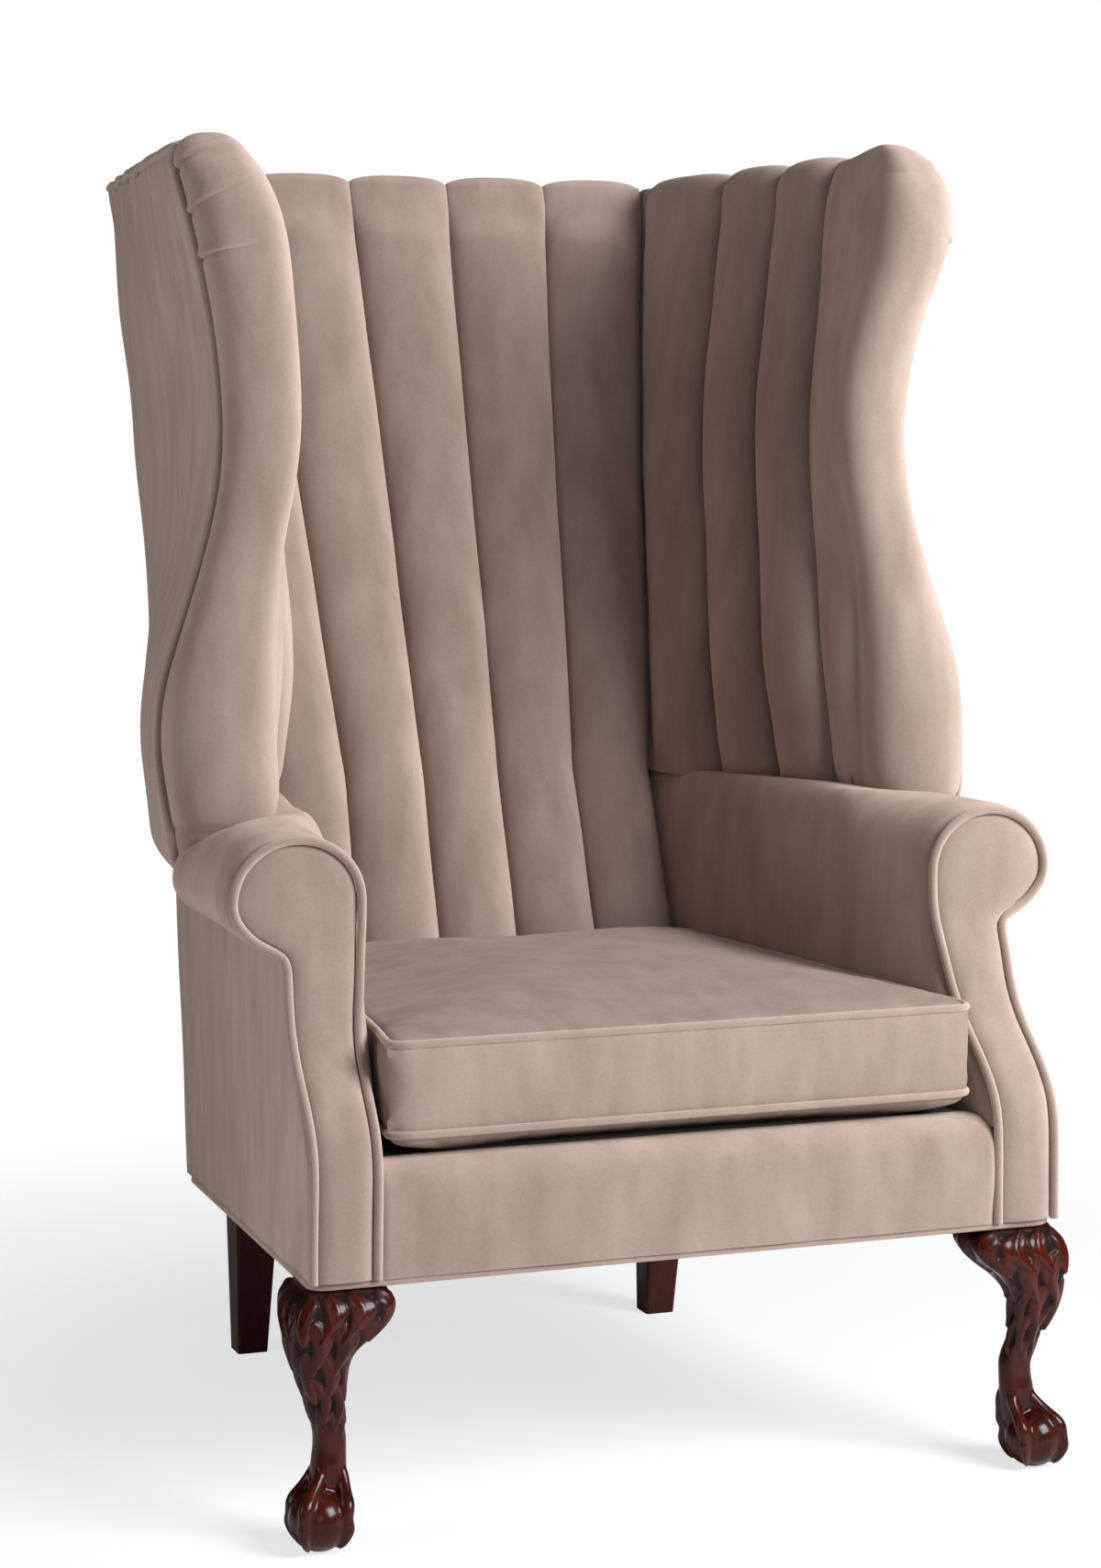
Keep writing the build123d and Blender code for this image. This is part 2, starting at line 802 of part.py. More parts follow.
# Cord down the front edge of each outside wing.
cord_run = [(side_line(depth) + dx, at_depth(depth), z) for z, dx, depth, rear_dx in skirt]
cord_run += [(level.cord[0], at_depth(level.cord[1]), level.z) for level in LEVELS]
with BuildPart() as wing_cord:
    with BuildLine() as cord_path:
        FilletPolyline(*cord_run, radius=70.0)
    with BuildSketch(Plane(origin=cord_path.line @ 0, z_dir=cord_path.line % 0)):
        Circle(cord_r)
    sweep(path=cord_path.line)
write_pair(wing_cord.part, "wing_cord")

# Seat frame: front rail between the leg blocks, side rails along the covers.
block_in = half_front - 67.0
block_out = half_front - 19.0
block_near = facing_pad - 4.0 + slack
block_far = 68.0
rail_low = base_front_z + 12.0
with BuildPart() as front_rail:
    with Locations((0, at_depth(block_near + 3.2), rail_low)):
        Box(
            2 * (block_in - slack),
            28.0,
            deck_z - rail_low,
            align=(Align.CENTER, Align.MIN, Align.MIN),
        )
write_piece(front_rail.part, "front_rail")
front_rail_far = block_near + 31.2


def rail_outer(depth):
    """Outer face of a side rail."""
    return side_x(depth) - 1.0


with BuildPart() as side_rail:
    with BuildSketch(Plane.XY.offset(rail_low)):
        with BuildLine():
            Polyline(
                (rail_outer(block_far + slack), at_depth(block_far + slack)),
                (rail_outer(800.0), at_depth(800.0)),
                (rail_outer(800.0) - rail_t, at_depth(800.0)),
                (rail_outer(block_far + slack) - rail_t, at_depth(block_far + slack)),
                close=True,
            )
        make_face()
    extrude(amount=deck_z - rail_low)
    add(behind_posts, mode=Mode.SUBTRACT)
write_pair(side_rail.part, "side_rail")

# Bolts: through the front corner blocks into the front legs, through the rear legs into the back posts.
bolt_r = 4.0
bolt_z = deck_z - 30.0
rear_leg_x = half_rear - 61.0
rear_leg_w = 46.0
rear_block_near = body_depth - 57.0
bolt_turn = (block_in, block_far)


def corner_bolt(radius):
    """Rod on the diagonal of the right front corner."""
    start = (bolt_turn[0] - 31.0, at_depth(bolt_turn[1] + 31.0), bolt_z)
    end = (bolt_turn[0] + 26.0, at_depth(bolt_turn[1] - 26.0), bolt_z)
    return rod(start, end, radius)


def rear_bolt(radius):
    """Rod from the right rear leg into the back post."""
    x = rear_leg_x + 12.0
    start = (x, at_depth(rear_block_near - 6.0), bolt_z - 25.0)
    return rod(start, (x, at_depth(body_depth + 3.0), bolt_z - 25.0), radius)


corner_hole = corner_bolt(bolt_r + slack)
rear_hole = rear_bolt(bolt_r + slack)
nut_front = rod(
    (bolt_turn[0] - 31.0, at_depth(bolt_turn[1] + 31.0), bolt_z),
    (bolt_turn[0] - 25.6, at_depth(bolt_turn[1] + 25.6), bolt_z),
    9.0,
)
nut_rear = rod(
    (rear_leg_x + 12.0, at_depth(rear_block_near - 6.5), bolt_z - 25.0),
    (rear_leg_x + 12.0, at_depth(rear_block_near - slack), bolt_z - 25.0),
    9.0,
)
with BuildPart() as leg_bolts:
    add(corner_bolt(bolt_r))
    add(nut_front)
    add(rear_bolt(bolt_r))
    add(nut_rear)
    mirror(about=Plane.YZ)
write_piece(leg_bolts.part, "leg_bolts")

with BuildPart() as bored_post:
    add(back_post.part)
    add(rear_hole, mode=Mode.SUBTRACT)
write_pair(bored_post.part, "back_post")

# Corner blocks: glued across the front corners, and square blocks beside the rear legs.
with BuildPart() as corner_blocks:
    with BuildSketch(Plane.XY.offset(bolt_z - 20.0)):
        with BuildLine():
            rail_in = rail_outer(block_far + 58.0) - rail_t - slack
            Polyline(
                (block_in - 60.0, at_depth(front_rail_far + slack)),
                (block_in - slack, at_depth(front_rail_far + slack)),
                (block_in - slack, at_depth(block_far + slack)),
                (rail_outer(block_far) - rail_t - slack, at_depth(block_far + slack)),
                (rail_in, at_depth(block_far + 58.0)),
                close=True,
            )
        make_face()
    extrude(amount=40.0)
    add(corner_hole, mode=Mode.SUBTRACT)
    add(nut_front, mode=Mode.SUBTRACT)
    with Locations((rear_leg_x - rear_leg_w / 2 - slack, at_depth(rear_block_near), bolt_z - 20.0)):
        Box(50.0, 90.0, 40.0, align=(Align.MAX, Align.MIN, Align.MIN))
    add(behind_posts, mode=Mode.SUBTRACT)
    mirror(about=Plane.YZ)
write_piece(corner_blocks.part, "corner_blocks")

# Carved cabriole front legs: height, outward shift on the diagonal and half width of each section.
leg_x = half_front - 12.0
leg_depth = 15.0
leg_top = base_z(block_far) - 2.0
ball_r = 29.0
ball_z = 27.0
LEG = (
    (0.24, -3.0, 15.0, 7.0),
    (0.345, -14.0, 13.5, 6.0),
    (0.435, -20.0, 14.0, 6.0),
    (0.55, -20.0, 16.5, 7.0),
    (0.69, -14.0, 22.0, 9.0),
    (0.825, -13.0, 30.0, 12.0),
    (0.94, -20.0, 37.0, 14.0),
    (1.0, -25.0, 37.0, 12.0),
)
leg_sections = []
for share, shift, half, ease in LEG:
    step = shift * 0.7071
    with BuildSketch(Plane.XY.offset(share * leg_top)) as section:
        with Locations((leg_x + step, at_depth(leg_depth - step))):
            RectangleRounded(2 * half, 2 * half, ease)
    leg_sections.append(section.sketch)
ball_centre = Vector(leg_x, at_depth(leg_depth), ball_z)
toe_faces = []
for heading in (-45.0, 45.0, 135.0, 225.0):
    outward = Vector(cos(radians(heading)), sin(radians(heading)), 0)
    across = Vector(-sin(radians(heading)), cos(radians(heading)), 0)
    rise = radians(72.0)
    start = ball_centre + outward * (25.0 * cos(rise)) + Vector(0, 0, 25.0 * sin(rise))
    along = outward * -sin(rise) + Vector(0, 0, cos(rise))
    with BuildSketch(Plane(origin=start, x_dir=across, z_dir=along)) as toe:
        Circle(8.0)
    toe_faces.append((toe.sketch, Axis(ball_centre, across)))
with BuildPart() as front_leg:
    loft(leg_sections)
    with Locations(ball_centre):
        Sphere(ball_r)
    for toe_face, toe_axis in toe_faces:
        revolve(toe_face, axis=toe_axis, revolution_arc=108.0)
    with Locations((0, 0, 0)):
        Box(4000, 4000, 200, align=(Align.CENTER, Align.CENTER, Align.MAX), mode=Mode.SUBTRACT)
    with Locations((block_in, at_depth(block_near), leg_top)):
        Box(
            block_out - block_in,
            block_far - block_near,
            deck_z - leg_top,
            align=(Align.MIN, Align.MIN, Align.MIN),
        )
    add(corner_hole, mode=Mode.SUBTRACT)
write_pair(front_leg.part, "front_leg")

# Scrolled knee blocks on both inner sides of each front leg.
knee_step = 25.0 * 0.7071
knee_in = leg_x - knee_step - 37.0
knee_far = leg_depth + knee_step + 37.0
ear_top = leg_top - 1.0
with BuildPart() as knee_blocks:
    with BuildSketch(Plane(origin=(0, at_depth(45.0), 0), x_dir=(1, 0, 0), z_dir=(0, -1, 0))):
        with BuildLine():
            Polyline((knee_in - slack, ear_top - 34.0), (knee_in - slack, ear_top), (knee_in - 34.0, ear_top))
            ThreePointArc(
                (knee_in - 34.0, ear_top),
                (knee_in - 15.0, ear_top - 10.0),
                (knee_in - slack, ear_top - 34.0),
            )
        make_face()
    extrude(amount=42.0)
    with BuildSketch(Plane.YZ.offset(leg_x - 36.0)):
        with BuildLine():
            Polyline(
                (at_depth(knee_far + slack), ear_top - 34.0),
                (at_depth(knee_far + slack), ear_top - 3.0),
                (at_depth(knee_far + 34.0), ear_top - 3.0),
            )
            ThreePointArc(
                (at_depth(knee_far + 34.0), ear_top - 3.0),
                (at_depth(knee_far + 15.0), ear_top - 12.0),
                (at_depth(knee_far + slack), ear_top - 34.0),
            )
        make_face()
    extrude(amount=42.0)
write_pair(knee_blocks.part, "knee_blocks")

# Plain raked rear legs.
rear_top = base_rear_z - 1.0
rear_sections = []
for z, depth, width in ((0.0, body_depth - 4.0, 31.0), (rear_top, body_depth - 22.0, rear_leg_w)):
    with BuildSketch(Plane.XY.offset(z)) as section:
        with Locations((rear_leg_x, at_depth(depth))):
            RectangleRounded(width, width, 3.0)
    rear_sections.append(section.sketch)
with BuildPart() as rear_block:
    with Locations((rear_leg_x, at_depth(rear_block_near), rear_top)):
        Box(rear_leg_w, 100.0, deck_z - rear_top, align=(Align.CENTER, Align.MIN, Align.MIN))
    add(behind_posts, mode=Mode.SUBTRACT)
with BuildPart() as rear_leg:
    loft(rear_sections, ruled=True)
    add(rear_block.part)
    add(rear_hole, mode=Mode.SUBTRACT)
write_pair(rear_leg.part, "rear_leg")

# Sinuous seat springs and their clips.
wire_r = 1.7
wire_z = deck_z + wire_r + 0.1
spring_near = block_near + 17.0
spring_far = outside_depth(deck_z) - cover - 17.0
spring_turns = 14
spring_pitch = (spring_far - spring_near) / spring_turns
loop = 22.0
spring_points = []
for i in range(spring_turns + 1):
    side = loop if i % 2 else -loop
    depth = spring_near + i * spring_pitch
    spring_points.append((side, at_depth(depth), wire_z))
    spring_points.append((-side, at_depth(depth), wire_z))
with BuildPart() as spring:
    with BuildLine() as wire:
        FilletPolyline(*spring_points, radius=12.0)
    with BuildSketch(Plane(origin=wire.line @ 0, z_dir=wire.line % 0)):
        Circle(wire_r)
    sweep(path=wire.line)
spring_at = [Location((x, 0, 0)) for x in (-160.0, -80.0, 0.0, 80.0, 160.0)]
with BuildPart() as seat_springs:
    with Locations(*spring_at):
        add(spring.part)
write_piece(seat_springs.part, "seat_springs")

clip_spots = [(place.position.X, at_depth(depth)) for place in spring_at for depth in (spring_near, spring_far)]
with BuildPart() as spring_clips:
    for x, y in clip_spots:
        with Locations((x, y, deck_z + 0.1)):
            Box(14.0, 12.0, 5.0, align=(Align.CENTER, Align.CENTER, Align.MIN))
            Box(16.0, 3.8, 3.8, align=(Align.CENTER, Align.CENTER, Align.MIN), mode=Mode.SUBTRACT)
write_piece(spring_clips.part, "spring_clips")

# Loose seat cushion: depth, inset from the arms, crown and belly of each cross section.
cushion_gap = 9.0
rear_tilt = 17.0
cushion_near = 12.0
cushion_far = inside_back_depth(cushion_low_z) - back_crown - 8.5
CUSHION = (
    (0.0, 38.0, 3.0, 2.0),
    (0.016, 19.0, 7.0, 4.0),
    (0.034, 11.0, 10.0, 5.5),
    (0.056, 5.5, 13.0, 7.0),
    (0.09, 2.0, 15.5, 8.0),
    (0.13, 0.0, 18.0, 9.0),
    (0.27, 0.0, 22.0, 11.0),
    (0.40, 0.0, 23.5, 11.8),
    (0.60, 0.0, 23.5, 11.8),
    (0.73, 0.0, 22.0, 11.0),
    (0.84, 0.5, 18.5, 9.0),
    (0.93, 3.0, 13.0, 6.0),
)


def cushion_half(depth):
    """Half width of the cushion beside the arms."""
    return arm_x(depth) - cushion_gap


def cushion_face(plane, half, high, crown, drop):
    """Cross section of the cushion: bowed sides, crowned top, bellied underside."""
    with BuildSketch(plane) as face:
        with BuildLine():
            ThreePointArc((-half, 0.0), (0.0, -drop), (half, 0.0))
            ThreePointArc((half, 0.0), (half + 2.0, high / 2), (half, high))
            ThreePointArc((half, high), (0.0, high + crown), (-half, high))
            ThreePointArc((-half, high), (-half - 2.0, high / 2), (-half, 0.0))
        make_face()
    return face.sketch


cushion_faces = []
for share, inset, crown, drop in CUSHION:
    depth = cushion_near + share * (cushion_far - cushion_near)
    upright = Plane(origin=(0, at_depth(depth), cushion_low_z), x_dir=(1, 0, 0), z_dir=(0, -1, 0))
    cushion_faces.append(cushion_face(upright, cushion_half(depth) - inset, cushion_box, crown, drop))
cushion_rear = Plane(
    origin=(0, at_depth(cushion_far), cushion_low_z),
    x_dir=(1, 0, 0),
    z_dir=(0, -cos(radians(rear_tilt)), sin(radians(rear_tilt))),
)
rear_high = cushion_box / cos(radians(rear_tilt))
cushion_faces.append(cushion_face(cushion_rear, cushion_half(cushion_far) - 8.0, rear_high, 6.0, 3.0))

foam_near = 55.0
foam_far = cushion_far - 34.0
foam_inset = 34.0


def foam_block(grow):
    """Foam insert, or the space for it when grown."""
    with BuildPart() as block:
        with BuildSketch(Plane.XY.offset(cushion_low_z + 8.0 - grow)):
            with BuildLine():
                near = cushion_half(foam_near) - foam_inset + grow
                far = cushion_half(foam_far) - foam_inset + grow
                Polyline(
                    (-near, at_depth(foam_near - grow)),
                    (near, at_depth(foam_near - grow)),
                    (far, at_depth(foam_far + grow)),
                    (-far, at_depth(foam_far + grow)),
                    close=True,
                )
            make_face()
        extrude(amount=cushion_box - 16.0 + 2 * grow)
    return block.part


write_piece(foam_block(0.0), "cushion_foam")
foam_space = foam_block(0.2)
zip_length = 340.0
zip_mid = rear_high / 2
with BuildPart() as cushion_cover:
    loft(cushion_faces, ruled=True)
    add(foam_space, mode=Mode.SUBTRACT)
    with Locations(cushion_rear * Location((0, zip_mid, 0))):
        Box(zip_length, 18.0, 10.0, mode=Mode.SUBTRACT)
write_piece(cushion_cover.part, "cushion_cover")

with BuildPart() as zip_tape:
    with Locations(cushion_rear * Location((0, zip_mid, 4.95))):
        Box(zip_length - 2.0, 15.0, 1.5, align=(Align.CENTER, Align.CENTER, Align.MAX))
write_piece(zip_tape.part, "zip_tape")
with BuildPart() as zip_slider:
    with Locations(cushion_rear * Location((zip_length / 2 - 12.0, zip_mid, 2.9))):
        Box(9.0, 11.0, 1.4, align=(Align.CENTER, Align.CENTER, Align.MAX))
    with Locations(cushion_rear * Location((zip_length / 2 - 12.0, zip_mid, 1.6))):
        Box(3.0, 7.0, 1.2, align=(Align.CENTER, Align.CENTER, Align.MAX))
write_piece(zip_slider.part, "zip_slider")


def cushion_cord(z, far, name):
    """Closed cord round one edge of the cushion."""
    near_half = cushion_half(cushion_near) + 2.0
    far_half = cushion_half(far) - 6.0
    with BuildPart() as cord:
        with BuildLine(Plane.XY.offset(z)) as path:
            FilletPolyline(
                (-near_half, at_depth(cushion_near)),
                (near_half, at_depth(cushion_near)),
                (far_half, at_depth(far)),
                (-far_half, at_depth(far)),
                radius=36.0,
                close=True,
            )
        with BuildSketch(Plane(origin=path.line @ 0, z_dir=path.line % 0)):
            Circle(cord_r - 0.9)
        sweep(path=path.line)
    write_piece(cord.part, name)


cushion_cord(cushion_high_z + 1.5, cushion_far + cushion_box * tan(radians(rear_tilt)), "cushion_cord_top")
cushion_cord(cushion_low_z - 1.0, cushion_far, "cushion_cord_low")

# Seat deck over the springs, front border over the front rail, dust cover and base cord.
deck_top = cushion_cover.part.bounding_box().min.Z - 0.5
deck_low = wire_z + wire_r + slack
deck_near = front_rail_far + slack
deck_far = inside_back_depth(deck_z) - back_crown - 4.0
with BuildPart() as seat_deck:
    with BuildSketch(Plane.XY.offset(deck_low)):
        with BuildLine():
            Polyline(
                (-arm_x(deck_near) + 2.0, at_depth(deck_near)),
                (arm_x(deck_near) - 2.0, at_depth(deck_near)),
                (arm_x(deck_far) - 2.0, at_depth(deck_far)),
                (-arm_x(deck_far) + 2.0, at_depth(deck_far)),
                close=True,
            )
        make_face()
    extrude(amount=deck_top - deck_low)
write_piece(seat_deck.part, "seat_deck")

border_half = arm_x(0.0) - 6.5
border_top = min(deck_z + 22.0, deck_top - 1.0)
border_rear = block_near + 2.9
with BuildPart() as front_border:
    with BuildSketch(Plane.YZ.offset(-border_half)):
        with BuildLine():
            Polyline(
                (at_depth(16.0), border_top),
                (at_depth(front_rail_far), border_top),
                (at_depth(front_rail_far), deck_z + slack),
                (at_depth(border_rear), deck_z + slack),
                (at_depth(border_rear), facing_low),
                (at_depth(0.0), facing_low),
                (at_depth(-2.0), border_top - 18.0),
            )
            ThreePointArc(
                (at_depth(-2.0), border_top - 18.0),
                (at_depth(4.0), border_top - 4.6),
                (at_depth(16.0), border_top),
            )
        make_face()
    extrude(amount=2 * border_half)
    for x in (-160.0, -80.0, 0.0, 80.0, 160.0):
        with Locations((x, at_depth(spring_near), deck_z)):
            Box(46.0 + 2 * wire_r, 40.0, 5.5, align=(Align.CENTER, Align.CENTER, Align.MIN), mode=Mode.SUBTRACT)
write_piece(front_border.part, "front_border")

slope_depth = hypot(body_depth, base_drop)
with BuildPart() as base_cord:
    with BuildLine(base_plane.offset(cord_r)) as base_path:
        FilletPolyline(
            (-half_front + cord_r, cord_r),
            (half_front - cord_r, cord_r),
            (half_rear - cord_r, slope_depth - cord_r),
            (-half_rear + cord_r, slope_depth - cord_r),
            radius=14.0,
            close=True,
        )
    with BuildSketch(Plane(origin=base_path.line @ 0, z_dir=base_path.line % 0)):
        Circle(cord_r)
    sweep(path=base_path.line)
write_piece(base_cord.part, "base_cord")

with BuildPart() as dust_cover:
    with BuildSketch(base_plane.offset(4.0)):
        with BuildLine():
            Polyline(
                (-half_front + 15.0, 12.0),
                (half_front - 15.0, 12.0),
                (half_rear - 11.0, slope_depth - 11.0),
                (-half_rear + 11.0, slope_depth - 11.0),
                close=True,
            )
        make_face()
    extrude(amount=1.2)
    for side in (-1, 1):
        with Locations((side * (block_in + block_out) / 2, at_depth((block_near + block_far) / 2), base_front_z)):
            Box(block_out - block_in + 20.0, block_far - block_near + 2.0, 80.0, mode=Mode.SUBTRACT)
        with Locations((side * rear_leg_x, at_depth(body_depth - 20.0), base_rear_z)):
            Box(rear_leg_w + 2.0, 76.0, 80.0, mode=Mode.SUBTRACT)
write_piece(dust_cover.part, "dust_cover")
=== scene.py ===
"""High back armchair: velvet covers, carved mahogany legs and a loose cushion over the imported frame."""

import json
import logging
import math
from dataclasses import dataclass
from enum import Enum
from typing import Optional, Sequence, Union

import bmesh
import bpy
import numpy as np
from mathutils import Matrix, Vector
from mathutils.bvhtree import BVHTree


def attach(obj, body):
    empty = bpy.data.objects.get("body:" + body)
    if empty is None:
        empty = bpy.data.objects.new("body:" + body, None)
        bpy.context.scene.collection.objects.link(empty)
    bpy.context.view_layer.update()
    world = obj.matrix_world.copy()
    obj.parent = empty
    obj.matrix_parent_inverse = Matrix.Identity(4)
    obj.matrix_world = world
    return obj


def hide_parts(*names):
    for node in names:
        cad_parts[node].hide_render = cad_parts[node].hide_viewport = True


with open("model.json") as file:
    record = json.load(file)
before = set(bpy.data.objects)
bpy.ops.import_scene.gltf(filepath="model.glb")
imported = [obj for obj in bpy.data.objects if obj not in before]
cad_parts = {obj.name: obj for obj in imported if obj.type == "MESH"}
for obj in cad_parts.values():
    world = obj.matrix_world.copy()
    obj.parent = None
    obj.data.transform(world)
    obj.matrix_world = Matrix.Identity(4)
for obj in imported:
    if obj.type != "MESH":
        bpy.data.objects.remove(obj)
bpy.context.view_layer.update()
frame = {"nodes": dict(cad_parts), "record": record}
LOG = logging.getLogger("armchair")

# Sizes are written in millimetres, as on a drawing; meshes are made in metres.
MM = 0.001
Points = np.ndarray
Colour = tuple[float, float, float, float]
Socket = bpy.types.NodeSocket
Input = Union[Socket, float, Colour]


class Side(Enum):
    """Left and right as seen from in front of the chair."""

    LEFT = -1
    RIGHT = 1

    @property
    def tag(self) -> str:
        """Ending of the names of pieces on this side."""
        return self.name.lower()

    def place(self, points: Points) -> Points:
        """Points of the right-hand piece moved to this side."""
        return points * np.array([self.value, 1.0, 1.0])


class Body(Enum):
    """CAD bodies that pieces ride on."""

    CHAIR = "chair"
    CUSHION = "cushion"


class Slot(Enum):
    """Material slots of the record."""

    VELVET = "velvet"
    CORD = "velvet_cord"
    MAHOGANY = "mahogany"
    BEECH = "beech"
    STEEL = "steel"
    WEBBING = "webbing"
    DECK = "deck_cloth"
    DUST = "dust_cloth"
    FOAM = "foam"
    ZIP_TAPE = "zip_tape"
    ZIP_METAL = "zip_metal"


def ease(t: Points) -> Points:
    """Smooth step of values clipped to 0 and 1."""
    t = np.clip(t, 0.0, 1.0)
    return t * t * (3.0 - 2.0 * t)


def packed(count: int) -> Points:
    """Values from 0 to 1 that crowd towards both ends."""
    return (1.0 - np.cos(np.pi * np.linspace(0.0, 1.0, count))) / 2.0


def pillow(t: Points, square: float = 2.5, edge: float = 0.54) -> Points:
    """Height, from 0 to 1, of a stuffed channel across its width."""
    return np.clip(1.0 - np.abs(2.0 * t - 1.0) ** square, 0.0, 1.0) ** edge


def flute(t: Points, pull: float) -> Points:
    """Height of a stuffed channel whose seams are pulled below its ground."""
    return (1.0 + pull) * pillow(t) - pull


def quarter_round(t: Points) -> Points:
    """Drop of a quarter round, from 0 at its start to 1 at its end."""
    return 1.0 - np.sqrt(1.0 - np.clip(t, 0.0, 1.0) ** 2)


class Spline:
    """Natural cubic curve through rows of values at given stations."""

    def __init__(self, at: Sequence[float], values: Sequence) -> None:
        """Solve the curve's bends.

        Args:
            at: Stations in rising order.
            values: One value or row of values for each station.
        """
        self.at = np.asarray(at, float)
        self.values = np.asarray(values, float).reshape(len(self.at), -1)
        step = np.diff(self.at)
        matrix = np.eye(len(self.at))
        right = np.zeros_like(self.values)
        for i in range(1, len(self.at) - 1):
            matrix[i, i - 1 : i + 2] = step[i - 1], 2.0 * (step[i - 1] + step[i]), step[i]
            rise = (self.values[i + 1] - self.values[i]) / step[i]
            right[i] = 6.0 * (rise - (self.values[i] - self.values[i - 1]) / step[i - 1])
        self.bends = np.linalg.solve(matrix, right)

    def __call__(self, x: Points) -> Points:
        """Values at stations.

        Args:
            x: Stations, held to the ends of the curve.

        Returns:
            Array with one more axis than x, or the same axes where there is one value.
        """
        x = np.clip(np.asarray(x, float), self.at[0], self.at[-1])
        i = np.clip(np.searchsorted(self.at, x) - 1, 0, len(self.at) - 2)
        step = (self.at[i + 1] - self.at[i])[..., None]
        b = (x - self.at[i])[..., None] / step
        a = 1.0 - b
        bent = (a**3 - a) * self.bends[i] + (b**3 - b) * self.bends[i + 1]
        out = a * self.values[i] + b * self.values[i + 1] + bent * step**2 / 6.0
        return out[..., 0] if out.shape[-1] == 1 else out


@dataclass(frozen=True)
class BodyLines:
    """Lines that the covers share; depth runs back from the front face."""

    half_front: float = 350.0
    half_rear: float = 285.0
    depth: float = 647.0
    front_y: float = -425.94
    base_front: float = 225.0
    base_drop: float = 47.0
    arm_inset: float = 66.0
    arm_slope: float = 0.1217
    outside_lean: float = 0.2154
    inside_lean: float = 0.33
    back_low: float = 79.0
    seat_z: float = 428.0
    neck_z: float = 497.0
    arm_axis_z: float = 537.0
    arm_top_z: float = 596.0
    wing_low_z: float = 578.0
    wing_high_z: float = 1176.0
    narrow_z: float = 1040.0
    narrow_run: float = 130.0
    cord_r: float = 4.5

    def y(self, depth: Points) -> Points:
        """World y at a depth."""
        return self.front_y + depth

    def side(self, depth: Points) -> Points:
        """Outside of the body at a depth."""
        return self.half_front - (self.half_front - self.half_rear) / self.depth * depth

    def arm(self, depth: Points) -> Points:
        """Inside face of an arm at a depth."""
        return self.half_front - self.arm_inset - self.arm_slope * depth

    def base(self, depth: Points) -> Points:
        """Underside of the body at a depth."""
        return self.base_front - self.base_drop * depth / self.depth

    @property
    def base_rear(self) -> float:
        """Height of the underside at the back."""
        return self.base_front - self.base_drop

    @property
    def back_angle(self) -> float:
        """Angle that the outside back leans at."""
        return math.atan(self.outside_lean)

    def outside_back(self, z: Points) -> Points:
        """Depth of the outside back at a height."""
        return self.depth + self.outside_lean * (z - self.base_rear)

    def narrowing(self, z: Points) -> Points:
        """Share, from 0 to 1, of the narrowing of the back towards its top."""
        return ease((z - self.narrow_z) / self.narrow_run)

    def inside_back(self, z: Points) -> Points:
        """Depth of the seams of the inside back at a height."""
        return self.depth - self.back_low + self.inside_lean * (z - self.seat_z)


LINES = BodyLines()

# Side view of the arm fronts: height and depth.
ARM_FRONT = Spline(
    (225, 270, 312, 330, 350, 368, 387, 406, 420, 438, 463, 488, 500, 512, 555, 600),
    (-4, -4, -4, -2, 5.6, 19.2, 37.7, 56.3, 66.5, 75.8, 83.6, 91.3, 94, 95, 94.7, 94.4),
)


class WingLines:
    """Plan of the right wing at any height."""

    # Share of the height, then x from the body's side line and depth of the corded edge, x of the roll's
    # inside bulge, x and depth of the three seams from front to back, x of the corner seam and of the rear.
    STATIONS = (
        (0.00, 66.9, 288, -29.1, -25.5, 343, -39.3, 425, -54.3, 515, -80.0, 6.7),
        (0.11, 74.2, 301, -26.8, -33.6, 342, -43.6, 432, -54.0, 528, -69.8, 9.6),
        (0.23, 67.5, 304, -27.5, -43.8, 340, -49.8, 440, -52.4, 543, -59.4, 12.6),
        (0.41, 32.7, 306, -36.3, -42.0, 358, -41.5, 463, -41.5, 572, -45.8, 18.0),
        (0.60, 13.7, 306, -54.3, -37.9, 379, -33.0, 488, -30.5, 602, -30.1, 24.4),
        (0.78, 26.4, 293, -46.6, -23.9, 389, -16.8, 500, -12.7, 620, -13.5, 31.7),
        (0.92, 47.1, 280, -33.9, -14.2, 396, -4.0, 508, 1.5, 632, 1.3, 38.6),
        (1.00, 58.7, 296, -25.3, -11.1, 397, -0.8, 510, 5.8, 635, 8.9, 41.6),
    )
    # Below the wing: height, x from the side line and depth of the corded edge, x of the rear edge.
    SKIRT = ((497.0, 10.7, 325, 1.9), (537.5, 52.7, 306, 4.8))

    def __init__(self, lines: BodyLines) -> None:
        """Fit the curves through the stations.

        Args:
            lines: Lines of the body that the stations are measured from.
        """
        self.lines = lines
        side = lines.side
        rows, heights = [], []
        for share, ex, ed, bulge, x3, d3, x2, d2, x1, d1, corner, rear in self.STATIONS:
            z = lines.wing_low_z + share * (lines.wing_high_z - lines.wing_low_z)
            seam, back = lines.inside_back(z), lines.outside_back(z)
            seams = [value for x, d in ((x3, d3), (x2, d2), (x1, d1)) for value in (side(d) + x, d)]
            ends = (side(seam) + corner, seam - 1.0, side(back) + rear)
            rows.append((side(ed) + ex, ed, side(ed) + bulge, *seams, *ends))
            heights.append(z)
        self.plan = Spline(heights, rows)
        edge = [(side(d) + x, d, side(lines.outside_back(z)) + r) for z, x, d, r in self.SKIRT]
        edge += [(row[0], row[1], row[11]) for row in rows]
        self.outside = Spline([row[0] for row in self.SKIRT] + heights, edge)

    def outer_x(self, depth: Points, z: Points) -> Points:
        """Outer face of the outside wing.

        Args:
            depth: Depths behind the front face.
            z: Heights.

        Returns:
            x of the face there.
        """
        cord_x, cord_d, rear_x = np.moveaxis(self.outside(z), -1, 0)
        share = (depth - cord_d) / (self.lines.outside_back(z) - cord_d)
        return cord_x + share * (rear_x - cord_x)


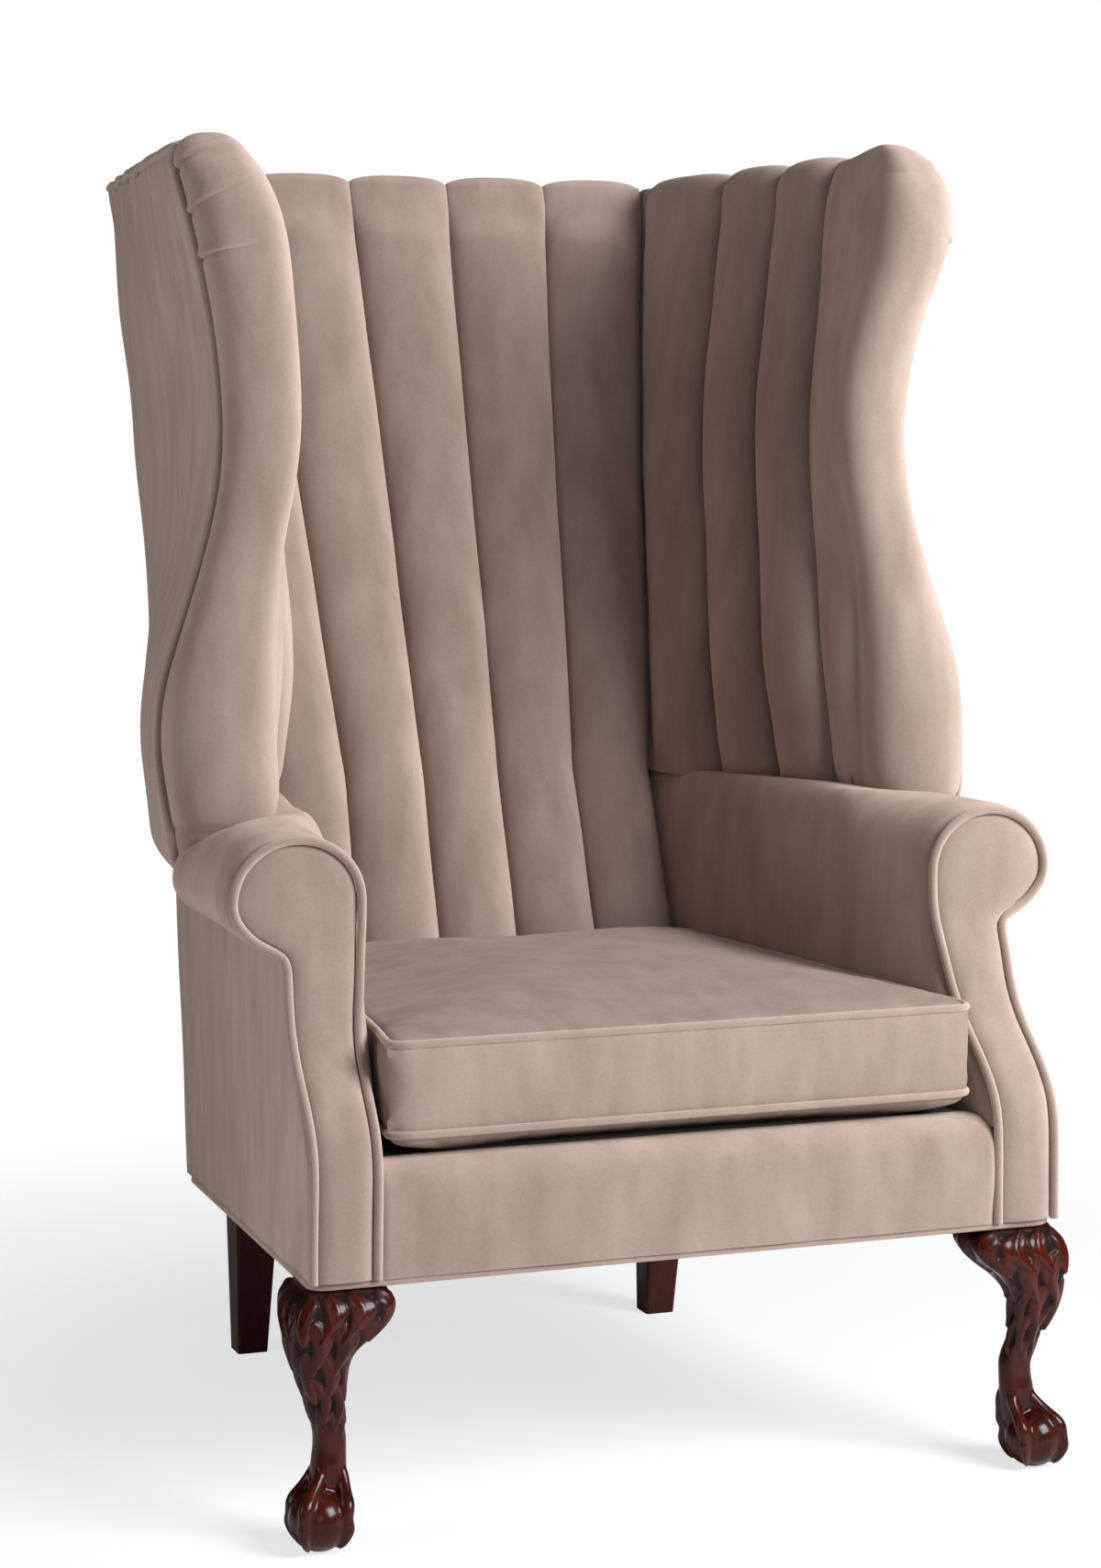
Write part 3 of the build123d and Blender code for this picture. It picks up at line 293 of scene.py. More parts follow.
WING = WingLines(LINES)


def back_half(z: Points) -> Points:
    """Half width of the inside back.

    Args:
        z: Heights.

    Returns:
        Half widths there.
    """
    low = LINES.arm(LINES.inside_back(z))
    high = WING.plan(z)[..., 9]
    return low + (high - low) * ease((np.asarray(z) - 556.0) / 60.0) - 3.2


@dataclass(frozen=True)
class Fold:
    """Crease or ridge along a line on a cover; a positive depth presses in."""

    start: tuple[float, float, float]
    end: tuple[float, float, float]
    width: float
    depth: float


@dataclass(frozen=True)
class Pleat:
    """Fold laid in the cover of a roll, running in from its corded edge."""

    z: float
    rise: float
    length: float
    depth: float = 2.8

    def lift(self, away: Points, z: Points) -> Points:
        """How far the cover stands out round the pleat.

        Args:
            away: Distance of each point from the corded edge.
            z: Height of each point.

        Returns:
            Lift at each point, negative in the crease.
        """
        above = z - self.z - self.rise * away
        fade = 1.0 - ease((away - 0.4 * self.length) / (0.6 * self.length))
        crease = -np.exp(-((above / 1.7) ** 2))
        lap = 0.8 * np.exp(-(((above - 4.5) / 4.5) ** 2))
        return self.depth * fade * (crease + lap)


def grid_normals(grid: Points, facing: Sequence[float]) -> Points:
    """Unit normals of a grid of points.

    Args:
        grid: Points, rows by columns by 3.
        facing: Direction that most of the normals look in.

    Returns:
        Normals, one for each point.
    """
    normals = np.cross(np.gradient(grid, axis=1), np.gradient(grid, axis=0))
    if (normals @ np.array(facing, float)).sum() < 0:
        normals = -normals
    return normals / np.maximum(np.linalg.norm(normals, axis=-1, keepdims=True), 1e-9)


def fold_depth(points: Points, folds: Sequence[Fold]) -> Points:
    """How far each point is pressed in by a set of folds.

    Args:
        points: Points with their coordinates on the last axis.
        folds: Folds in the same frame.

    Returns:
        Depth at each point.
    """
    depth = np.zeros(points.shape[:-1])
    for fold in folds:
        a, b = np.array(fold.start), np.array(fold.end)
        run = b - a
        t = np.clip(((points - a) @ run) / (run @ run), 0.0, 1.0)
        gap = np.linalg.norm(points - a - t[..., None] * run, axis=-1)
        taper = 0.25 + 0.75 * np.sin(np.pi * np.clip(t, 0.02, 0.98)) ** 0.7
        depth += fold.depth * taper * np.exp(-((gap / fold.width) ** 2))
    return depth


def drift(points: Points, scale: float, seed: int = 3) -> Points:
    """Slow even waviness from -1 to 1, the same in every run.

    Args:
        points: Points with their coordinates on the last axis.
        scale: Length of the waves.
        seed: Which set of waves.

    Returns:
        Value at each point.
    """
    rng = np.random.default_rng(seed)
    total = np.zeros(points.shape[:-1])
    for _ in range(7):
        way = rng.normal(size=3)
        way *= rng.uniform(0.6, 1.7) / np.linalg.norm(way)
        total += np.sin(points @ way * (2.0 * np.pi / scale) + rng.uniform(0.0, 2.0 * np.pi))
    return total / 4.0


def drape(name: str, grid: Points, facing: Sequence[float], ring: bool = False) -> bpy.types.Object:
    """Mesh of quads over a grid of points, turned to face one way.

    Args:
        name: Name of the piece.
        grid: Points in millimetres, rows by columns by 3.
        facing: Direction that most of the faces look in.
        ring: Whether the last column joins the first.

    Returns:
        The new object, smooth shaded.
    """
    rows, columns = grid.shape[:2]
    index = np.arange(rows * columns).reshape(rows, columns)
    if ring:
        index = np.hstack([index, index[:, :1]])
    quads = np.stack([index[:-1, :-1], index[:-1, 1:], index[1:, 1:], index[1:, :-1]], -1).reshape(-1, 4)
    mesh = bpy.data.meshes.new(name)
    mesh.from_pydata((grid.reshape(-1, 3) * MM).tolist(), [], quads.tolist())
    bm = bmesh.new()
    bm.from_mesh(mesh)
    bmesh.ops.remove_doubles(bm, verts=bm.verts, dist=0.02 * MM)
    way = Vector(facing)
    if sum(f.normal.dot(way) * f.calc_area() for f in bm.faces) < 0:
        bmesh.ops.reverse_faces(bm, faces=bm.faces)
    bm.to_mesh(mesh)
    bm.free()
    return new_object(name, mesh)


def placed(x: Points, depth: Points, z: Points) -> Points:
    """Points from x, depth behind the front face and height."""
    return np.stack(np.broadcast_arrays(x, LINES.y(depth), z), -1)


def ripple(grid: Points, way: Points, height: float, scale: float, seed: int) -> None:
    """Make a cover slightly uneven.

    Args:
        grid: Points of the cover, moved in place.
        way: Direction, or one for each point, that the points move in.
        height: Height of the waves.
        scale: Length of the waves.
        seed: Which set of waves.
    """
    grid += np.asarray(way) * (height * drift(grid, scale, seed))[..., None]


def capped(grid: Points) -> Points:
    """Rings of points with both ends drawn to their middles.

    Args:
        grid: Points, rings by points by 3.

    Returns:
        The rings with one more, of no size, at each end.
    """
    first = grid[:1].mean(axis=1, keepdims=True) + 0.0 * grid[:1]
    last = grid[-1:].mean(axis=1, keepdims=True) + 0.0 * grid[-1:]
    return np.concatenate([first, grid, last])


def closed_form(name: str, grid: Points) -> bpy.types.Object:
    """Closed mesh over rings of points, with its faces outward.

    Args:
        name: Name of the piece.
        grid: Points in millimetres, rings by points by 3.

    Returns:
        The new object.
    """
    piece = drape(name, grid, (0, 0, 1), ring=True)
    bm = bmesh.new()
    bm.from_mesh(piece.data)
    bmesh.ops.recalc_face_normals(bm, faces=bm.faces)
    bm.to_mesh(piece.data)
    bm.free()
    return piece


def new_object(name: str, mesh: bpy.types.Mesh) -> bpy.types.Object:
    """Object for a mesh, linked to the scene and smooth shaded.

    Args:
        name: Name of the object.
        mesh: Its mesh.

    Returns:
        The new object.
    """
    mesh.shade_smooth()
    piece = bpy.data.objects.new(name, mesh)
    bpy.context.scene.collection.objects.link(piece)
    return piece


def vertex_array(mesh: bpy.types.Mesh, key: str = "co") -> Points:
    """Places or normals of a mesh's vertices.

    Args:
        mesh: The mesh.
        key: Blender's name of the values, three for each vertex.

    Returns:
        One row for each vertex; places are in metres.
    """
    values = np.zeros(len(mesh.vertices) * 3)
    mesh.vertices.foreach_get(key, values)
    return values.reshape(-1, 3)


def move_vertices(mesh: bpy.types.Mesh, points: Points) -> None:
    """Move the vertices of a mesh to points in metres."""
    mesh.vertices.foreach_set("co", points.astype(np.float32).ravel())
    mesh.update()


def add_modifier(piece: bpy.types.Object, name: str, kind: str, **settings: object) -> None:
    """Add a modifier to a piece.

    Args:
        piece: The piece.
        name: Name of the modifier.
        kind: Blender's name of its type.
        **settings: Attributes of the modifier.
    """
    modifier = piece.modifiers.new(name, kind)
    for key, value in settings.items():
        setattr(modifier, key, value)


def apply_modifiers(piece: bpy.types.Object) -> None:
    """Replace a piece's mesh by the result of its modifiers.

    Args:
        piece: The piece.
    """
    graph = bpy.context.evaluated_depsgraph_get()
    mesh = bpy.data.meshes.new_from_object(piece.evaluated_get(graph))
    old = piece.data
    piece.modifiers.clear()
    piece.data = mesh
    bpy.data.meshes.remove(old)
    mesh.name = piece.name
    mesh.shade_smooth()


def cord_object(name: str, path: Points, radius: float, closed: bool = False) -> bpy.types.Object:
    """Round cord along a smooth path.

    Args:
        name: Name of the piece.
        path: Points of the centre line in millimetres.
        radius: Radius of the cord.
        closed: Whether the cord joins up.

    Returns:
        The cord as a mesh object.
    """
    curve = bpy.data.curves.new(name, "CURVE")
    curve.dimensions = "3D"
    curve.bevel_depth = radius * MM
    curve.bevel_resolution = 4
    curve.use_fill_caps = True
    curve.resolution_u = 4
    line = curve.splines.new("NURBS")
    line.points.add(len(path) - 1)
    flat = np.concatenate([path * MM, np.ones((len(path), 1))], axis=1)
    line.points.foreach_set("co", flat.ravel())
    line.order_u = 4
    line.use_endpoint_u = not closed
    line.use_cyclic_u = closed
    holder = bpy.data.objects.new(name + "_line", curve)
    mesh = bpy.data.meshes.new_from_object(holder)
    mesh.name = name
    bpy.data.objects.remove(holder)
    bpy.data.curves.remove(curve)
    return new_object(name, mesh)


def rounded_loop(corners: Sequence[tuple[float, float]], radius: float, step: float = 8.0) -> Points:
    """Closed loop of points round a polygon with eased corners.

    Args:
        corners: Corner points in order.
        radius: Radius at the corners.
        step: Distance between points on the straight runs.

    Returns:
        Points in the polygon's plane.
    """
    loop = []
    count = len(corners)
    for i in range(count):
        before, here, after = (np.array(corners[(i + k) % count], float) for k in (-1, 0, 1))
        u = (before - here) / np.linalg.norm(before - here)
        v = (after - here) / np.linalg.norm(after - here)
        half = math.acos(float(np.clip(u @ v, -1.0, 1.0))) / 2.0
        cut = radius / math.tan(half)
        centre = here + (u + v) / np.linalg.norm(u + v) * radius / math.sin(half)
        a, b = here + u * cut - centre, here + v * cut - centre
        for t in np.linspace(0.0, 1.0, 9):
            w = a * (1.0 - t) + b * t
            loop.append(centre + w / np.linalg.norm(w) * radius)
        far = np.array(corners[(i + 1) % count], float)
        run = np.linalg.norm(far - here)
        for s in np.arange(cut + step, run - cut - step / 2.0, step):
            loop.append(here + v * s)
    return np.array(loop)


class Nodes:
    """Small helper that adds and links the nodes of one tree."""

    def __init__(self, tree: bpy.types.NodeTree) -> None:
        """Keep the tree."""
        self.tree = tree

    def add(self, kind: str, inputs: Optional[dict] = None, **settings: object) -> bpy.types.Node:
        """Add a node.

        Args:
            kind: Blender's name of the node type.
            inputs: Value, or output socket to link, for each input by name or number.
            **settings: Attributes of the node.

        Returns:
            The node.
        """
        node = self.tree.nodes.new(kind)
        for key, value in settings.items():
            setattr(node, key, value)
        for key, value in (inputs or {}).items():
            if isinstance(value, Socket):
                self.tree.links.new(value, node.inputs[key])
            else:
                node.inputs[key].default_value = value
        return node

    def noise(self, where: Socket, scale: float, detail: float = 3.0) -> Socket:
        """Noise value at a place."""
        return self.add("ShaderNodeTexNoise", {"Vector": where, "Scale": scale, "Detail": detail}).outputs[0]

    def math(self, operation: str, a: Input, b: Input = 0.0) -> Socket:
        """Result of one sum."""
        return self.add("ShaderNodeMath", {0: a, 1: b}, operation=operation).outputs[0]

    def ramp(self, value: Socket, low: float, high: float, to_low: float, to_high: float) -> Socket:
        """Value moved from one range to another, held at its ends."""
        inputs = {0: value, 1: low, 2: high, 3: to_low, 4: to_high}
        return self.add("ShaderNodeMapRange", inputs).outputs[0]

    def mix(self, share: Input, a: Input, b: Input) -> Socket:
        """Colour between two colours."""
        return self.add("ShaderNodeMix", {0: share, 6: a, 7: b}, data_type="RGBA").outputs[2]

    def stretch(self, where: Socket, scale: Sequence[float]) -> Socket:
        """Place scaled along each axis."""
        return self.add("ShaderNodeMapping", {"Vector": where, "Scale": scale}).outputs[0]


def new_group(
    name: str, inputs: dict[str, Input], outputs: Sequence[str]
) -> tuple[bpy.types.NodeTree, Nodes, bpy.types.NodeOutputs, Socket]:
    """Empty shader node group with named sockets.

    Args:
        name: Name of the group.
        inputs: Default value of each input; four numbers make a colour.
        outputs: Names of the values that it gives beside its colour.

    Returns:
        The group, the helper for its nodes, its given inputs and the place on the object.
    """
    group = bpy.data.node_groups.new(name, "ShaderNodeTree")
    for key, value in inputs.items():
        kind = "NodeSocketColor" if isinstance(value, tuple) else "NodeSocketFloat"
        socket = group.interface.new_socket(key, in_out="INPUT", socket_type=kind)
        socket.default_value = value
    group.interface.new_socket("Color", in_out="OUTPUT", socket_type="NodeSocketColor")
    for key in outputs:
        group.interface.new_socket(key, in_out="OUTPUT", socket_type="NodeSocketFloat")
    nodes = Nodes(group)
    given = nodes.add("NodeGroupInput").outputs
    return group, nodes, given, nodes.add("ShaderNodeTexCoord").outputs["Object"]


def brushed_pile_group() -> bpy.types.NodeTree:
    """Cut pile whose fibres lie in soft upright streaks and stroked patches.

    Returns:
        The node group, with a colour, a roughness and a height.
    """
    inputs = {
        "Pile": (0.3, 0.22, 0.18, 1.0),
        "Shade": (0.2, 0.14, 0.11, 1.0),
        "Streak": 0.5,
        "Patch": 0.5,
        "Grain": 420.0,
    }
    group, nodes, given, place = new_group("brushed_pile", inputs, ("Roughness", "Height"))
    streak = nodes.noise(nodes.stretch(place, (85.0, 85.0, 11.0)), 1.0, 4.0)
    patch = nodes.noise(nodes.stretch(place, (30.0, 30.0, 10.0)), 1.0, 7.0)
    grain = nodes.noise(place, given["Grain"], 6.0)
    brushed = nodes.math("MULTIPLY", nodes.ramp(streak, 0.3, 0.7, -0.5, 0.5), given["Streak"])
    stroked = nodes.math("MULTIPLY", nodes.ramp(patch, 0.32, 0.68, -0.5, 0.5), given["Patch"])
    share = nodes.math("ADD", nodes.math("ADD", brushed, stroked), nodes.ramp(grain, 0.3, 0.7, 0.38, 0.62))
    colour = nodes.mix(share, given["Pile"], given["Shade"])
    rough = nodes.ramp(share, 0.0, 1.0, 0.8, 0.95)
    height = nodes.math("ADD", nodes.math("MULTIPLY", grain, 0.5), nodes.math("MULTIPLY", streak, 0.3))
    nodes.add("NodeGroupOutput", {"Color": colour, "Roughness": rough, "Height": height})
    return group


def wood_grain_group() -> bpy.types.NodeTree:
    """Long fibres, pores and slow bands along the height.

    Returns:
        The node group, with a colour, a roughness and a height.
    """
    inputs = {"Early": (0.1, 0.03, 0.02, 1.0), "Late": (0.04, 0.01, 0.01, 1.0), "Fibre": 1.0, "Gloss": 0.25}
    group, nodes, given, place = new_group("wood_grain", inputs, ("Roughness", "Height"))
    fibre = nodes.noise(nodes.stretch(place, (420.0, 420.0, 14.0)), 1.0, 4.0)
    band = nodes.noise(nodes.stretch(place, (38.0, 38.0, 5.0)), 1.0, 3.0)
    share = nodes.math("ADD", nodes.math("MULTIPLY", fibre, 0.55), nodes.math("MULTIPLY", band, 0.6))
    colour = nodes.mix(nodes.ramp(share, 0.38, 0.75, 0.0, 1.0), given["Early"], given["Late"])
    rough = nodes.math("ADD", given["Gloss"], nodes.ramp(fibre, 0.3, 0.7, -0.04, 0.07))
    height = nodes.math("MULTIPLY", fibre, given["Fibre"])
    nodes.add("NodeGroupOutput", {"Color": colour, "Roughness": rough, "Height": height})
    return group


def plain_weave_group() -> bpy.types.NodeTree:
    """Crossed threads of a plain woven cloth.

    Returns:
        The node group, with a colour and a height.
    """
    inputs = {"Thread": (0.3, 0.25, 0.2, 1.0), "Gap": (0.1, 0.08, 0.07, 1.0), "Count": 900.0}
    group, nodes, given, place = new_group("plain_weave", inputs, ("Height",))
    split = nodes.add("ShaderNodeSeparateXYZ", {0: place}).outputs
    turned = nodes.math("ADD", split[1], split[2])
    warp = nodes.math("SINE", nodes.math("MULTIPLY", split[0], given["Count"]))
    weft = nodes.math("SINE", nodes.math("MULTIPLY", turned, given["Count"]))
    cross = nodes.ramp(nodes.math("MULTIPLY", warp, weft), -0.8, 0.8, 0.0, 1.0)
    slub = nodes.noise(nodes.stretch(place, (30.0, 120.0, 30.0)), 1.0, 3.0)
    share = nodes.math("MULTIPLY", cross, nodes.ramp(slub, 0.3, 0.7, 0.6, 1.0))
    nodes.add("NodeGroupOutput", {"Color": nodes.mix(share, given["Gap"], given["Thread"]), "Height": cross})
    return group


def new_material(name: str) -> tuple[bpy.types.Material, Nodes]:
    """Material without any nodes.

    Args:
        name: Name of the material.

    Returns:
        The material and the helper for its nodes.
    """
    material = bpy.data.materials.new(name)
    material.use_nodes = True
    material.node_tree.nodes.clear()
    return material, Nodes(material.node_tree)


@dataclass(frozen=True)
class Finish:
    """A finish that one slot of the record is made in."""

    name: str
    slot: Slot

    def start(
        self,
        values: dict[str, Input],
        group: bpy.types.NodeTree,
        look: dict[str, Input],
        strength: float,
        distance: float,
    ) -> tuple[bpy.types.Material, Nodes, bpy.types.Node, bpy.types.Node]:
        """New material with a group's colour, roughness and height fed to its shader.

        Args:
            values: Values of the Principled BSDF's inputs.
            group: Group with the effect.
            look: Values of the group's inputs.
            strength: Strength of the bump.
            distance: Height of the bump in metres.

        Returns:
            The material, the helper for its nodes, its Principled BSDF and the group's node.
        """
        material, nodes = new_material(self.name)
        shader = nodes.add("ShaderNodeBsdfPrincipled", values)
        nodes.add("ShaderNodeOutputMaterial", {"Surface": shader.outputs[0]})
        effect = nodes.add("ShaderNodeGroup", look, node_tree=group)
        bump = {"Strength": strength, "Distance": distance, "Height": effect.outputs["Height"]}
        nodes.tree.links.new(nodes.add("ShaderNodeBump", bump).outputs[0], shader.inputs["Normal"])
        nodes.tree.links.new(effect.outputs["Color"], shader.inputs["Base Color"])
        if "Roughness" in effect.outputs:
            nodes.tree.links.new(effect.outputs["Roughness"], shader.inputs["Roughness"])
        return material, nodes, shader, effect


@dataclass(frozen=True)
class VelvetFinish(Finish):
    """Taupe cut velvet, its colour scaled by the viewing angle: painted shade face on and painted sheen edge
    on.
    """

    pile: Colour = (0.4, 0.314, 0.27, 1.0)
    shade: Colour = (0.275, 0.203, 0.168, 1.0)
    streak: float = 0.12
    patch: float = 0.55
    sheen: float = 0.1
    # Factors on the colour by viewing angle: face on darkens it as painted shade, edge on lightens it as
    # painted sheen.
    face_on_painted_shade: Colour = (0.56, 0.54, 0.53, 1.0)
    edge_on_painted_sheen: Colour = (1.28, 1.24, 1.22, 1.0)

    def build(self, group: bpy.types.NodeTree) -> bpy.types.Material:
        """Make the material.

        Args:
            group: The brushed pile.

        Returns:
            The material.
        """
        values = {
            "Specular IOR Level": 0.15,
            "Sheen Weight": self.sheen,
            "Sheen Roughness": 0.5,
            "Sheen Tint": (0.95, 0.86, 0.8, 1.0),
        }
        look = {"Pile": self.pile, "Shade": self.shade, "Streak": self.streak, "Patch": self.patch}
        material, nodes, shader, pile = self.start(values, group, look, 0.35, 0.0006)
        # Painted shade and sheen: Layer Weight's facing value scales the base colour from the face-on factor
        # to the edge-on factor.
        facing = nodes.add("ShaderNodeLayerWeight", {"Blend": 0.5}).outputs["Facing"]
        painted_sheen = nodes.mix(nodes.ramp(facing, 0.0, 0.8, 0.0, 1.0), self.face_on_painted_shade, self.edge_on_painted_sheen)
        sheen_painted_colour = nodes.add("ShaderNodeVectorMath", {0: pile.outputs["Color"], 1: painted_sheen}, operation="MULTIPLY")
        nodes.tree.links.new(sheen_painted_colour.outputs[0], shader.inputs["Base Color"])
        return material


@dataclass(frozen=True)
class WoodFinish(Finish):
    """Wood with its grain along the height."""

    early: Colour = (0.1, 0.03, 0.02, 1.0)
    late: Colour = (0.04, 0.01, 0.01, 1.0)
    gloss: float = 0.25
    coat: float = 0.0
    specular: float = 0.5
    carved: bool = False

    def build(self, group: bpy.types.NodeTree) -> bpy.types.Material:
        """Make the material.

        Args:
            group: The wood grain.

        Returns:
            The material.
        """
        values = {"Specular IOR Level": self.specular, "Coat Weight": self.coat, "Coat Roughness": 0.1}
        look = {"Early": self.early, "Late": self.late, "Gloss": self.gloss}
        material, nodes, shader, grain = self.start(values, group, look, 0.12, 0.0004)
        if self.carved:
            # Painted shade in the carved grooves: where the relief is low the colour goes to near black; the
            # raised locks keep the grain colour.
            relief = nodes.add("ShaderNodeAttribute", attribute_name="relief").outputs["Fac"]
            groove_shade_colour = (0.006, 0.002, 0.0015, 1.0)
            painted_groove_shade = nodes.mix(nodes.ramp(relief, 0.0, 0.6, 0.0, 1.0), groove_shade_colour, grain.outputs["Color"])
            nodes.tree.links.new(painted_groove_shade, shader.inputs["Base Color"])
            nodes.tree.links.new(nodes.ramp(relief, 0.1, 0.6, 0.75, self.gloss), shader.inputs["Roughness"])
        return material


@dataclass(frozen=True)
class ClothFinish(Finish):
    """Plain woven cloth, felt or foam."""

    thread: Colour = (0.3, 0.25, 0.2, 1.0)
    gap: Colour = (0.1, 0.08, 0.07, 1.0)
    count: float = 900.0

    def build(self, group: bpy.types.NodeTree) -> bpy.types.Material:
        """Make the material.

        Args:
            group: The plain weave.

        Returns:
            The material.
        """
        look = {"Thread": self.thread, "Gap": self.gap, "Count": self.count}
        return self.start({"Roughness": 0.9}, group, look, 0.4, 0.0008)[0]


@dataclass(frozen=True)
class MetalFinish(Finish):
    """Drawn or plated metal with faint scratches."""

    bright: Colour = (0.6, 0.6, 0.61, 1.0)
    dull: Colour = (0.4, 0.4, 0.41, 1.0)

    def build(self, group: bpy.types.NodeTree) -> bpy.types.Material:
        """Make the material.

        Args:
            group: The wood grain, whose long streaks serve as drawing marks.

        Returns:
            The material.
        """
        look = {"Early": self.bright, "Late": self.dull, "Gloss": 0.35}
        return self.start({"Metallic": 1.0}, group, look, 0.05, 0.0002)[0]


class Workshop:
    """Holds the finishes and fits each finished piece to the frame."""

    def __init__(self) -> None:
        """Make every finish."""
        # The seat's copy of the velvet is darkened by one even factor, painted shade the same from every
        # side, in place of the other velvets' painted shade and sheen.
        seat_even_painted_shade = (0.67, 0.645, 0.635, 1.0)
        mahogany = {"slot": Slot.MAHOGANY, "specular": 0.12}
        velvets = (
            VelvetFinish("taupe_velvet", Slot.VELVET),
            VelvetFinish("taupe_velvet_cord", Slot.CORD, patch=0.3, face_on_painted_shade=(0.6, 0.58, 0.57, 1.0)),
        )
        seat = VelvetFinish("taupe_velvet_seat", Slot.VELVET, face_on_painted_shade=seat_even_painted_shade, edge_on_painted_sheen=seat_even_painted_shade)
        carved = WoodFinish(
            "carved_mahogany",
            early=(0.055, 0.0065, 0.0025, 1.0),
            late=(0.014, 0.002, 0.001, 1.0),
            gloss=0.25,
            coat=0.12,
            carved=True,
            **mahogany,
        )
        plain = WoodFinish(
            "plain_mahogany",
            early=(0.055, 0.009, 0.005, 1.0),
            late=(0.024, 0.005, 0.003, 1.0),
            gloss=0.3,
            coat=0.1,
            **mahogany,
        )
        streaked = (
            plain,
            WoodFinish("planed_beech", Slot.BEECH, (0.5, 0.34, 0.2, 1.0), (0.38, 0.24, 0.13, 1.0), 0.55),
            MetalFinish("drawn_steel", Slot.STEEL),
            MetalFinish("plated_zip", Slot.ZIP_METAL, (0.5, 0.44, 0.34, 1.0), (0.36, 0.31, 0.24, 1.0)),
        )
        woven = (
            ClothFinish("jute_webbing", Slot.WEBBING, (0.28, 0.2, 0.1, 1.0), (0.12, 0.08, 0.04, 1.0), 1600.0),
            ClothFinish("deck_cloth", Slot.DECK, (0.17, 0.125, 0.1, 1.0), (0.11, 0.08, 0.065, 1.0), 2600.0),
            ClothFinish("dust_cloth", Slot.DUST, (0.012,) * 3 + (1.0,), (0.004,) * 3 + (1.0,), 3000.0),
            ClothFinish("cushion_foam", Slot.FOAM, (0.72, 0.66, 0.45, 1.0), (0.6, 0.54, 0.35, 1.0), 2000.0),
            ClothFinish("zip_tape", Slot.ZIP_TAPE, (0.14, 0.1, 0.08, 1.0), (0.07, 0.05, 0.04, 1.0), 4000.0),
        )
        pile, grain, weave = brushed_pile_group(), wood_grain_group(), plain_weave_group()
        self.by_slot: dict[Slot, bpy.types.Material] = {}
        for group, finishes in ((pile, velvets), (grain, streaked), (weave, woven)):
            self.by_slot.update({finish.slot: finish.build(group) for finish in finishes})
        self.seat = seat.build(pile)
        self.carved = carved.build(grain)

    def fit(
        self,
        piece: bpy.types.Object,
        nodes: Sequence[str],
        slot: Slot = Slot.VELVET,
        body: Body = Body.CHAIR,
        fill: Optional[float] = None,
        material: Optional[bpy.types.Material] = None,
    ) -> bpy.types.Object:
        """Finish a piece and put it in the place of its CAD nodes.

        Args:
            piece: The finished mesh.
            nodes: CAD nodes that the piece stands for.
            slot: The record's material slot.
            body: CAD body that the piece rides on.
            fill: How full a padded piece is, or None for one that isn't padded; not used.
            material: Material where it isn't the slot's own.

        Returns:
            The piece.
        """
        piece.data.materials.clear()
        piece.data.materials.append(material or self.by_slot[slot])
        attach(piece, body.value)
        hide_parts(*nodes)
        LOG.info("%s: %d faces", piece.name, len(piece.data.polygons))
        return piece

    def cover(
        self,
        name: str,
        grid: Points,
        facing: Sequence[float],
        node: str,
        fill: Optional[float],
        slot: Slot = Slot.VELVET,
        thickness: float = 3.0,
    ) -> bpy.types.Object:
        """Make a cover over a grid of points and put it in the place of its CAD node.

        Args:
            name: Name of the piece.
            grid: Points in millimetres, rows by columns by 3.
            facing: Direction that most of the faces look in.
            node: CAD node that the cover stands for.
            fill: How full the padding is, or None for plain cloth.
            slot: The record's material slot.
            thickness: Thickness of the cover, inward from its face.

        Returns:
            The piece.
        """
        piece = drape(name, grid, facing)
        solid = {"thickness": thickness * MM, "offset": -1.0, "use_even_offset": False}
        add_modifier(piece, "thickness", "SOLIDIFY", **solid)
        return self.fit(piece, [node], slot, fill=fill)

    def finish_frame(self) -> None:
        """Give every CAD node that still shows its own finish."""
        for row in frame["record"]["subparts"]:
            node = frame["nodes"][row["node"]]
            node.data.materials.clear()
            node.data.materials.append(self.by_slot[Slot(row["material_slot"])])


@dataclass
class SideAssembly:
    """Sub-assembly that is made once on each side; its sizes are those of the right-hand one."""

    shop: Workshop
    side: Side

    def cover(
        self, name: str, grid: Points, facing: Sequence[float], node: str, fill: float, thickness: float = 3.0
    ) -> None:
        """Make this side's cover.

        Args:
            name: Name of the piece without its side.
            grid: Points of the right-hand cover.
            facing: Direction that most of the right-hand faces look in.
            node: CAD node without its side.
            fill: How full the padding is.
            thickness: Thickness of the cover.
        """
        tag = self.side.tag
        facing = tuple(self.side.place(np.array(facing, float)))
        shown = self.side.place(grid)
        self.shop.cover(f"{name}_{tag}", shown, facing, f"{node}_{tag}", fill, thickness=thickness)

    def piping(self, name: str, path: Points, radius: float, node: str) -> None:
        """Make this side's cord.

        Args:
            name: Name of the piece without its side.
            path: Centre line of the right-hand cord.
            radius: Radius of the cord.
            node: CAD node without its side.
        """
        cord = cord_object(f"{name}_{self.side.tag}", self.side.place(path), radius)
        self.shop.fit(cord, [f"{node}_{self.side.tag}"], Slot.CORD)


